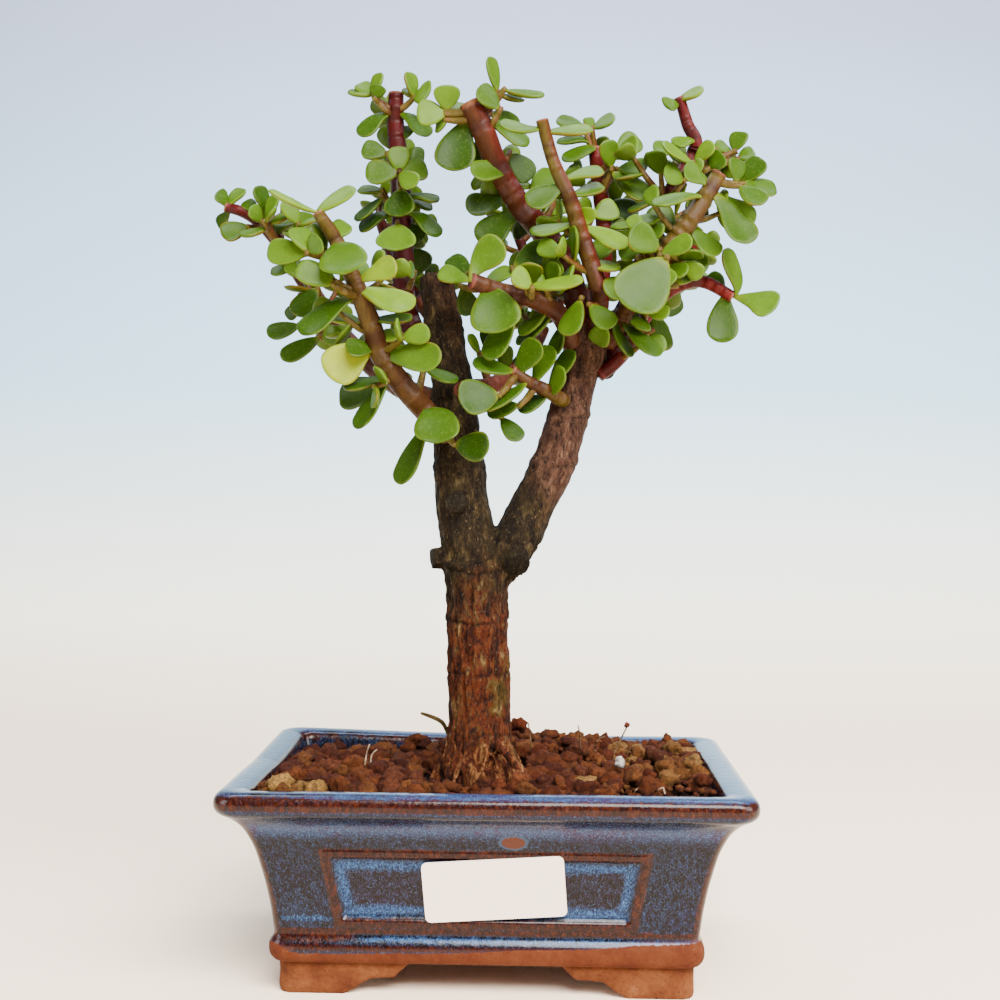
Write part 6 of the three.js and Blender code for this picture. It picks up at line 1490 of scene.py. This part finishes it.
# Thin bare roots on the front of the flare
STRANDS = [
    [(-0.5, -31, 82, 0.8), (-1.3, -34.6, 76, 0.8), (-4, -37.6, 72, 0.75), (-7, -41, 68.2, 0.6)],
    [(2.9, -30.5, 83, 1.8), (6.8, -33, 79.5, 2.2), (10, -35, 76, 2.2), (12.8, -36, 72, 1.6)],
    [(-9, -31, 77, 1.2), (-11, -34, 73, 1.2), (-12, -37, 68, 0.9)],
    [(1.3, -32, 80, 0.9), (3.2, -35.6, 76, 0.8), (4.3, -38, 72, 0.6), (3.3, -40, 68, 0.5)],
    [(-6.2, -33, 76, 0.6), (-5.3, -37, 72, 0.55), (-6, -40, 68, 0.5)]]


def root_line(turn, reach, radius):
    """A root that leaves the flare at a turn and dives into the soil."""
    angle = math.radians(turn)
    x, y = LOWER_TRUNK[2][:2]
    steps = [(0.35, 82, 1), (0.7, 76, 1), (0.95, 69, 0.85), (1.1, 61, 0.6)]
    return [(x + share * reach * math.cos(angle), y + share * reach * math.sin(angle), z, radius * thin)
            for share, z, thin in steps]


rough = bmesh.new()
for stem in (LOWER_TRUNK, LEFT_STEM, RIGHT_STEM):
    add_part(rough, stem, 4, 20)
for root in ROOTS:
    add_part(rough, root_line(*root), 3, 12)
for strand in STRANDS:
    add_part(rough, strand, 1.5, 10)
for start, end, radius in STUBS:
    add_part(rough, [(*start, radius), (*end, radius * 0.9)], 0, 14)
trunk_skin = even_skin(placed("trunk_rough", as_mesh(rough, "trunk_rough")), 0.6)
print("trunk skin:", len(trunk_skin.faces), "faces")

# %% Scars, cracks and lumps
# Ring scars, as heights on each of the three lines
SCARS = {
    "lower": (84.9, 105.9, 124.1, 141.9), "left": (178.3, 204, 231), "right": (152.6, 179.3, 196.4, 213)}
TRUNK_TOP = (Vector(LEFT_STEM[-1][:3]), LEFT_STEM[-1][3])
ROUGH_BELOW = 158
STRANDED_BELOW = 88
lines = {"lower": LOWER_TRUNK, "left": LEFT_STEM[1:], "right": RIGHT_STEM[1:]}
axis_spots = [(name, spot) for name, line in lines.items() for spot in smooth_line(line, 1)]


def search_tree(spots):
    tree = kdtree.KDTree(len(spots))
    for index, spot in enumerate(spots):
        tree.insert(spot[:3], index)
    tree.balance()
    return tree


axis_tree = search_tree([spot for _, spot in axis_spots])
strand_tree = search_tree([spot for strand in STRANDS for spot in smooth_line(strand, 1)])


def bump_at(off, centre, width):
    """A smooth bump: 1 at the centre, almost 0 two widths away."""
    return math.exp(-((off - centre) / width) ** 2)


def bark_height(spot):
    """(height of the bark, how close a ring scar is) at a point of the trunk's skin."""
    _, index, _ = axis_tree.find(spot)
    name, (x, y, z, radius) = axis_spots[index]
    angle = math.atan2(spot.y - y, spot.x - x)
    faint = 0.55 + 0.9 * noise.noise((2 * math.cos(angle), 2 * math.sin(angle), z * 0.02))
    tilt = noise.noise((spot.x * 0.11, spot.y * 0.11, 5)) * 2.4
    tilt += 0.9 * noise.noise((spot.x * 0.5, spot.y * 0.5, 8))
    scar = 0
    height = 0
    for level in SCARS[name]:
        off = spot.z - level + tilt
        groove = bump_at(off, 0, 0.42) * clamp(faint, 0.15)
        height += 0.5 * bump_at(off, 1.7, 1.7) + 0.3 * bump_at(off, -1.9, 1.5) - 0.5 * groove
        scar = max(scar, groove)
    round_x, round_y = radius * math.cos(angle), radius * math.sin(angle)

    def along_bark(scale, upward, shift=0):
        return noise.noise((round_x * scale, round_y * scale, spot.z * upward + shift))

    low = smooth_step(-spot.z, -ROUGH_BELOW, 18 - ROUGH_BELOW)
    height -= (0.25 + 0.55 * low) * bump_at(along_bark(0.3, 0.03), 0, 0.07)
    height += (0.3 + 0.35 * low) * along_bark(0.9, 0.12) + low * (0.9 * abs(along_bark(0.42, 0.09, 4)) - 0.6)
    height += 0.4 * noise.noise(spot * 0.13) + 0.3 * noise.noise(spot * 0.4)
    stranded = smooth_step(-spot.z, -STRANDED_BELOW, 12 - STRANDED_BELOW)
    return height + stranded * 0.9 * along_bark(0.7, 0.05, 9), scar


print("ring scars:", sum(len(levels) for levels in SCARS.values()))

# %% Move the skin by the height of the bark
layers = number_layers(trunk_skin, "scar", "cut", "root")
cut_ends = [(Vector(end), radius) for _, end, radius in STUBS] + [TRUNK_TOP]
moved = []
for vert in trunk_skin.verts:
    height, scar = bark_height(vert.co)
    cut = max(near((vert.co - end).length, 0, radius * 1.35) for end, radius in cut_ends)
    root = near(strand_tree.find(vert.co)[2], 0, 2.2) * (1 if vert.co.x < 1 else 0.6)
    moved.append((vert, vert.co + vert.normal * height * (1 - 0.7 * cut) * (1 - 0.6 * root)))
    vert[layers["scar"]] = scar
    vert[layers["cut"]] = smooth_step(cut, 0.1, 0.35)
    vert[layers["root"]] = root
for vert, co in moved:
    vert.co = co
print("points moved:", len(moved))

# %% The finish of the bark
def bark_finish():
    bark = Finish("bark", roughness=0.75, specular=0.1)
    spot = bark.place()
    long = bark.place(upward=0.38)
    grain = bark.noise(long, 0.9, detail=5, roughness=0.72, distortion=0.3)
    flake = bark.noise(long, 0.3, detail=5, roughness=0.7, distortion=0.7)
    fine = bark.noise(bark.place(upward=0.45), 1.9, detail=4, roughness=0.75)
    cloud = bark.noise(spot, 0.07, detail=4, roughness=0.6)
    height, across = bark.axis(spot, "Z"), bark.axis(spot, "X")
    stray = bark.swing(cloud, 60)
    # Rusty on the trunk, olive on the left stem and pinkish on the right one
    rust = bark.ramp(flake, (0.34, 17, 8, 5), (0.44, 44, 20, 9), (0.54, 72, 33, 13), (0.62, 58, 42, 20),
                     (0.72, 112, 88, 56))
    olive = bark.ramp(flake, (0.34, 12, 8, 4), (0.5, 30, 23, 11), (0.62, 48, 39, 21), (0.74, 86, 74, 48))
    pink = bark.ramp(flake, (0.34, 24, 14, 11), (0.5, 56, 37, 28), (0.62, 74, 52, 40), (0.74, 104, 82, 64))
    stems = bark.over(olive, pink, bark.plus(height, bark.times(across, 2)), 186, 226)
    colour = bark.over(rust, stems, bark.plus(height, stray), 114, 150)
    # Moss, low down and more to the right
    moss = bark.times(bark.level(cloud, 0.54, 0.64), bark.level(across, -6, 4, 0.05, 0.55))
    moss = bark.times(moss, bark.level(height, 120, 140, 1, 0.15))
    colour = bark.mix(moss, colour, bark.mix(flake, tone(30, 27, 9), tone(81, 72, 31)))
    colour = bark.over(colour, tone(10, 5, 3), grain, 0.49, 0.36, 0, 0.9)
    colour = bark.over(colour, tone(109, 89, 64), fine, 0.57, 0.7, 0, 0.6)
    # Pale bare roots, dark old cuts and ring scars
    foot = bark.level(bark.plus(height, bark.times(stray, 0.25)), 90, 78, 0, 0.8)
    root = bark.sum("MAXIMUM", bark.attribute("root"), bark.times(foot, bark.level(flake, 0.45, 0.6)))
    bare = bark.ramp(grain, (0.32, 42, 20, 10), (0.5, 88, 52, 27), (0.68, 138, 102, 66))
    colour = bark.over(colour, bare, root, 0.3, 0.7, 0, 0.85)
    cut = bark.ramp(fine, (0.36, 8, 7, 4), (0.55, 22, 19, 11), (0.7, 52, 44, 30))
    colour = bark.mix(bark.times(bark.attribute("cut"), 0.8), colour, cut)
    colour = bark.mix(bark.times(bark.attribute("scar"), 0.85), colour, tone(14, 8, 5))
    relief = bark.bump(fine, 0.4, 0.7, under=bark.bump(grain, 1.1, 0.9))
    return bark.wear(Base_Color=colour, Normal=relief, Roughness=bark.level(flake, 0.4, 0.7, 0.8, 0.55))


BARK = bark_finish()
finished("trunk_skin", trunk_skin, BARK, "bark", "trunk")

# %% Threads on the soil
THREADS = [
    ("twig", [(-13.5, -18, 81, 0.7), (-15, -18, 84, 0.75), (-17.1, -19, 88.2, 0.8),
              (-21.3, -21, 90.6, 0.7), (-24.4, -22, 91.8, 0.5)]),
    ("stalk", [(14.4, -6, 77, 0.35), (14.1, -6, 82, 0.3), (13.3, -6, 86.6, 0.25)]),
    ("stalk", [(32.4, -6, 77, 0.35), (32.2, -6, 82, 0.3), (31.5, -6, 85.6, 0.25)]),
    ("stalk", [(45, 5, 73, 0.3), (47.4, 5, 78.5, 0.3), (49.8, 5, 83.4, 0.3)]),
    ("stalk", [(38, 2, 74, 0.3), (38.5, 2, 78.4, 0.3), (41.8, 2, 80.6, 0.25)]),
    ("hair", [(50, -40, 68.6, 0.3), (52, -42, 70.5, 0.3), (54, -43, 69.4, 0.25)]),
    ("hair", [(57, -41, 68.8, 0.3), (59.5, -43, 70.8, 0.3), (60, -44, 68.9, 0.25)]),
    ("hair", [(-46, -8, 70.5, 0.3), (-45, -9, 76, 0.3), (-44, -10, 78.5, 0.25)]),
    ("hair", [(-43.5, -12, 70, 0.3), (-43, -12, 75, 0.3), (-41, -12, 77, 0.25)])]
THREAD_TINTS = {"twig": tone(74, 62, 34), "stalk": tone(110, 84, 62), "hair": tone(206, 176, 144)}

bm, layer = tinted_mesh()
for kind, points in THREADS:
    for vert in add_part(bm, points, 1.5, 6):
        vert[layer] = (*THREAD_TINTS[kind], 1)
finished("soil_threads", bm, CLAY_GRANULES, "clay_granules", "soil")

# %% [markdown]
# ## Stems and twigs
#
# Young jade wood is smooth and finely fibrous, olive to maroon, with a slight swelling at each
# old leaf pair. Each branch is a tube on the frame's line, and each twig a thin one that starts inside
# it. A colour is stored on the points, from the branch's foot to its tip.

# %% Stem colours
MAROON = tone(62, 17, 17)
DARK_MAROON = tone(40, 10, 10)
OLIVE = tone(75, 66, 24)
BROWN = tone(66, 40, 21)
DARK_BROWN = tone(48, 22, 12)
RED = tone(84, 22, 20)
PINK = tone(112, 64, 54)
TAN = tone(122, 79, 56)
GREEN_TWIG = tone(92, 84, 35)
# Colour of each branch at its foot, at its tip, and on the side that the sun has reddened
STEM_COLOURS = {
    "branch_left_low": (BROWN, MAROON, RED), "branch_left_front": (BROWN, OLIVE, BROWN),
    "branch_left_upright": (DARK_MAROON, MAROON, MAROON), "branch_left_back": (BROWN, MAROON, RED),
    "branch_cross": (PINK, PINK, PINK), "branch_crown_tall": (DARK_BROWN, BROWN, RED),
    "branch_crown_front": (DARK_BROWN, OLIVE, RED), "branch_crown_back": (MAROON, RED, RED),
    "branch_right_tall": (DARK_MAROON, MAROON, RED), "branch_right_front": (BROWN, OLIVE, BROWN),
    "branch_right_low": (MAROON, RED, RED), "branch_middle_front": (BROWN, BROWN, BROWN),
    "branch_right_back": (MAROON, RED, RED), "branch_fork": (OLIVE, BROWN, BROWN),
    "branch_back_left": (BROWN, MAROON, RED), "branch_back_right": (MAROON, MAROON, RED)}
SUN_SIDE = Vector((0.85, -0.25, 0.45)).normalized()
SUN_SHARE = 0.65
NODE_SPACING = 17
NODE_SWELLING = 0.014


print("branches with colours:", len(STEM_COLOURS))


# %% The finish of young wood
def stem_finish():
    stem = Finish("young_stem", roughness=0.5, specular=0.12)
    tint = stem.attribute("tint", "Color")
    patch = stem.noise(stem.place(upward=0.3), 0.2, detail=4)
    fine = stem.noise(stem.place(upward=0.4), 1.3, detail=4, roughness=0.72)
    fibre = stem.noise(stem.place(upward=0.22), 0.8, detail=5, roughness=0.75)
    colour = stem.over(stem.mix(0.3, tint, tone(30, 12, 8)), tint, patch, 0.36, 0.64)
    colour = stem.over(colour, stem.mix(0.55, tint, tone(24, 12, 6)), fibre, 0.42, 0.6, 0.5, 0)
    colour = stem.over(colour, tone(128, 88, 56), fine, 0.6, 0.76, 0, 0.2)
    colour = stem.over(colour, tone(36, 14, 10), fine, 0.46, 0.34, 0, 0.45)
    colour = stem.mix(stem.times(stem.attribute("scar"), 0.75), colour, tone(40, 18, 12))
    rough = stem.level(fine, 0.4, 0.7, 0.42, 0.6)
    return stem.wear(Base_Color=colour, Normal=stem.bump(fine, 0.2, 0.45), Roughness=rough)


YOUNG_STEM = stem_finish()
print("finish:", YOUNG_STEM.name)


# %% A coloured tube with swellings
def blend(a, b, share):
    return tuple(x + (y - x) * share for x, y in zip(a, b))


def swollen(points):
    """Adds the slight swelling at each old leaf pair; gives the line and the swellings' places."""
    travelled = 0
    line, scars = [], []
    for number, point in enumerate(points):
        if number:
            travelled += length(sub(point[:3], points[number - 1][:3]))
        turned = (travelled + NODE_SPACING / 2) % NODE_SPACING - NODE_SPACING / 2
        ring = math.exp(-(turned / 1.8) ** 2) if travelled > 4 else 0
        if ring > 0.8:
            scars.append(Vector(point[:3]))
        line.append((*point[:3], point[3] * (1 + NODE_SWELLING * ring)))
    return line, scars


def add_tube(bm, tint_layer, layers, points, sides, foot_tint, tip_tint, cut=None):
    """Adds one tube and colours it from its foot to its tip; a cut end has its own colour."""
    line, scars = swollen(points)
    start, end = Vector(line[0][:3]), Vector(line[-1][:3])
    run = end - start
    radius = line[-1][3]
    hollow = 0
    if cut:
        line.insert(-1, blend(line[-2], line[-1], 0.8))
        hollow = 0.35 * radius
    for vert in add_part(bm, line, 0, sides, hollow):
        share = clamp((vert.co - start).dot(run) / run.dot(run))
        at_cut = cut and (vert.co - end).length < radius * 1.04
        vert[tint_layer] = (*(cut if at_cut else blend(foot_tint, tip_tint, share)), 1)
        vert[layers["scar"]] = max([0] + [near((vert.co - spot).length, line[0][3], 0.8) for spot in scars])
        vert[layers["sun"]] = 0 if at_cut else 1


print("a red halfway to pink:", tuple(round(value, 3) for value in blend(RED, PINK, 0.5)))

# %% The wood of every branch
TWIG_END = 1.2
TWIG_SAG = 0.06
PINK_CUTS = ("branch_middle_front", "branch_right_tall", "branch_right_front")


def branch_wood(node):
    """The stem of a branch with all its twigs, redder on the side that faces the sun."""
    bm, layer = tinted_mesh()
    layers = number_layers(bm, "scar", "sun")
    foot_tint, tip_tint, sun_tint = STEM_COLOURS[node]
    young = blend(tip_tint, GREEN_TWIG, 0.35)
    stem = smooth_line(BRANCHES[node][0], 1.6)
    add_tube(bm, layer, layers, stem, 14, foot_tint, tip_tint, PINK if node in PINK_CUTS else TAN)
    for stretch in layout.stretches:
        if stretch.node == node and stretch.twig is not None:
            reach = add(stretch.end, mul(unit(sub(stretch.end, stretch.start)), TWIG_END))
            sag = (0, 0, -TWIG_SAG * length(sub(reach, stretch.start)))
            bow = add(mix(stretch.start, reach, 0.5), sag)
            radius = stretch.radius * 1.02
            twig = [(*stretch.start, radius * 1.15), (*bow, radius), (*reach, radius * 0.72)]
            add_tube(bm, layer, layers, smooth_line(twig, 1.8), 8, young, GREEN_TWIG)
    bm.normal_update()
    for vert in bm.verts:
        reddened = smooth_step(vert.normal.dot(SUN_SIDE), 0.05, 0.75) * vert[layers["sun"]] * SUN_SHARE
        vert[layer] = (*blend(vert[layer][:3], sun_tint, reddened), 1)
    return finished(node.replace("branch", "wood"), bm, YOUNG_STEM, "jade_leaf_and_stem", node)


for name in BRANCHES:
    branch_wood(name)

# %% [markdown]
# ## Leaves
#
# A jade leaf is a fat little spoon: round at the tip, narrow at the foot, hollow along the
# middle, with a reddened rim on some leaves; a thin paler rim is painted highlight, where light
# catches the rounded edge. One template is shaped from a grid, squeezed into a disc and given a
# thickness. Each leaf then maps the template's three numbers (across, along, above or below) to
# its own bent blade. The template's flat coordinates are kept as a UV map, so the finish knows
# where the rim and the middle line are, and each leaf stores its own tone.

# %% A leaf template
LEAF_COLUMNS = 4
LEAF_ROWS = 6


def leaf_template():
    bm = bmesh.new()
    bmesh.ops.create_grid(bm, x_segments=LEAF_COLUMNS, y_segments=LEAF_ROWS, size=1)
    for vert in bm.verts:
        x, y = vert.co.x, vert.co.y
        vert.co = Vector((x * math.sqrt(1 - y * y / 2), y * math.sqrt(1 - x * x / 2), 1))
    bmesh.ops.solidify(bm, geom=list(bm.faces), thickness=2)
    heights = [vert.co.z for vert in bm.verts]
    low, high = min(heights), max(heights)
    uv = bm.loops.layers.uv.new("blade")
    for vert in bm.verts:
        x, y = vert.co.x, vert.co.y
        chord = math.sqrt(max(1e-6, 1 - y * y))
        layer = 2 * (vert.co.z - low) / (high - low) - 1
        vert.co = Vector((clamp(x / chord, -1) if abs(y) < 0.999 else 0, (y + 1) / 2, layer))
    for face in bm.faces:
        for loop in face.loops:
            loop[uv].uv = (loop.vert.co.x, loop.vert.co.y)
    face_outward(bm)
    return as_mesh(bm, "leaf")


LEAF = leaf_template()
print("a leaf has", len(LEAF.polygons), "faces before it is smoothed")

# %% The finish of a leaf
def leaf_finish():
    leaf = Finish("jade_leaf", roughness=0.5, specular=0.09)
    spot = leaf.place()
    blade = leaf.node("UVMap", uv_map="blade").outputs["UV"]
    across, up = leaf.axis(blade, "X"), leaf.axis(blade, "Y")
    speck = leaf.noise(spot, 1.1, detail=3, roughness=0.65)
    patch = leaf.noise(spot, 0.13, detail=4, roughness=0.6)
    cloud = leaf.noise(spot, 0.04, detail=2)
    colour = leaf.ramp(leaf.attribute("shade"), (0, 23, 39, 8), (0.3, 43, 64, 11), (0.55, 66, 91, 18),
                       (0.8, 87, 112, 21), (1, 120, 132, 26))
    colour = leaf.over(colour, leaf.mix(0.55, colour, tone(33, 57, 13)), patch, 0.4, 0.66, 0, 0.5)
    colour = leaf.over(colour, tone(110, 125, 51), speck, 0.52, 0.7, 0, 0.14)
    pale = leaf.mix(0.6, colour, tone(60, 65, 30))
    colour = leaf.mix(leaf.times(leaf.attribute("under"), 0.4), colour, pale)
    colour = leaf.over(colour, tone(104, 107, 30), up, 0.2, 0, 0, 0.55)
    edge = leaf.sum("MAXIMUM", leaf.level(leaf.sum("ABSOLUTE", across), 0.82, 1), leaf.level(up, 0.94, 1))
    # A thin pale rim: painted highlight where light catches the rounded edge
    colour = leaf.mix(leaf.times(edge, 0.2), colour, tone(108, 122, 41))
    red = leaf.times(edge, leaf.level(cloud, 0.54, 0.66, 0, 0.5))
    colour = leaf.mix(red, colour, tone(90, 42, 18))
    relief = leaf.bump(patch, 0.6, 0.3, under=leaf.bump(speck, 0.1, 0.3))
    return leaf.wear(Base_Color=colour, Normal=relief, Subsurface_Weight=0.1, Subsurface_Scale=0.0012,
                     Subsurface_Radius=(0.4, 1, 0.15), Roughness=leaf.level(speck, 0.4, 0.7, 0.34, 0.46))


JADE_LEAF = leaf_finish()
print("finish:", JADE_LEAF.name)


# %% The leaves of every branch
def leaf_half(s):
    """Half the leaf's width at a share of its length, round at the tip."""
    return 2.22 * (s + 0.02) ** 0.9 * max(0, 1 - s) ** 0.42


def leaf_spot(leaf, across, s, layer):
    """A point of the leaf: across from -1 to 1, s from 0 to 1, layer -1 below and 1 above."""
    thick = 0.56 * LEAF_THICKNESS * math.sqrt(1 - 0.72 * across * across) * (1 - 0.4 * s ** 4)
    thick *= 0.55 + 0.45 * smooth_step(s, 0.02, 0.3)
    sideways = mul(leaf.side, leaf.width / 2 * leaf_half(s) * across)
    lifted = mul(leaf.face, leaf.bend(s, across) + thick * layer)
    spot = add(leaf.base, add(mul(leaf.along, s * leaf.size), add(sideways, lifted)))
    if leaf.foot is not None and s < 0.3:
        spot = add(spot, mul(sub(leaf.foot, leaf.base), (1 - s / 0.3) ** 2))
    return spot


def branch_leaves(node):
    """All the leaves that the layout gives to a branch, each with its own tone."""
    dice = random.Random(node)
    bm = bmesh.new()
    layers = number_layers(bm, "shade", "under")
    for leaf in layout.leaves:
        if leaf.node != node:
            continue
        shade = clamp(leaf.tone / 10 + dice.uniform(-0.07, 0.07))
        for vert in add_copy(bm, LEAF):
            vert[layers["shade"]] = shade
            vert[layers["under"]] = 1 if vert.co.z < 0 else 0
            vert.co = leaf_spot(leaf, *vert.co)
    face_outward(bm)
    name = node.replace("branch", "leaves")
    return finished(name, bm, JADE_LEAF, "jade_leaf_and_stem", node, subdivide=1)


for name in BRANCHES:
    branch_leaves(name)

# %% [markdown]
# ## Label
#
# The slip of paper on the front is blank. It sticks to the frame of the panel and follows the
# lean of the wall, with its corners rounded.

# %% Label
LABEL_WIDTH = 47.5
LABEL_HEIGHT = 21.6
LABEL_THICKNESS = 0.4
LABEL_CORNER = 2
LABEL_SHIFT = 3
LABEL_RISE = 1
LABEL_TURN = 0.07
SEAT_GAP = 0.32

paper = Finish("label_paper", roughness=0.55, specular=0.35)
fibre = paper.noise(paper.place(), 1.8, detail=4, roughness=0.7)
PAPER = paper.wear(Base_Color=paper.mix(fibre, tone(240, 220, 210), tone(250, 232, 221)),
                   Normal=paper.bump(fibre, 0.03, 0.3))
bm = bmesh.new()
bmesh.ops.create_grid(bm, x_segments=1, y_segments=1, size=1)
for vert in bm.verts:
    vert.co = Vector((vert.co.x * LABEL_WIDTH / 2, vert.co.y * LABEL_HEIGHT / 2, 0))
bmesh.ops.bevel(bm, geom=list(bm.verts), offset=LABEL_CORNER, segments=6, affect="VERTICES",
                profile=0.5, material=-1)
grown = bmesh.ops.extrude_face_region(bm, geom=list(bm.faces))["geom"]
bmesh.ops.translate(bm, vec=(0, 0, LABEL_THICKNESS), verts=verts_in(grown))
face_outward(bm)
middle = (PANEL_TOP + PANEL_BOTTOM) / 2
lean = math.atan2(inset_at(PANEL_BOTTOM) - inset_at(PANEL_TOP), PANEL_TOP - PANEL_BOTTOM)
on_wall = Matrix.Translation((0, inset_at(middle) - HALF_DEPTH, middle))
leaning = Matrix.Rotation(math.pi / 2 + lean, 4, "X")
on_label = Matrix.Translation((LABEL_SHIFT, LABEL_RISE, FRAME_RISE + SEAT_GAP))
askew = Matrix.Rotation(LABEL_TURN, 4, "Z")
bmesh.ops.transform(bm, matrix=on_wall @ leaning @ on_label @ askew, verts=bm.verts)
finished("label_slip", bm, PAPER, "label_paper", "label", smooth=False)
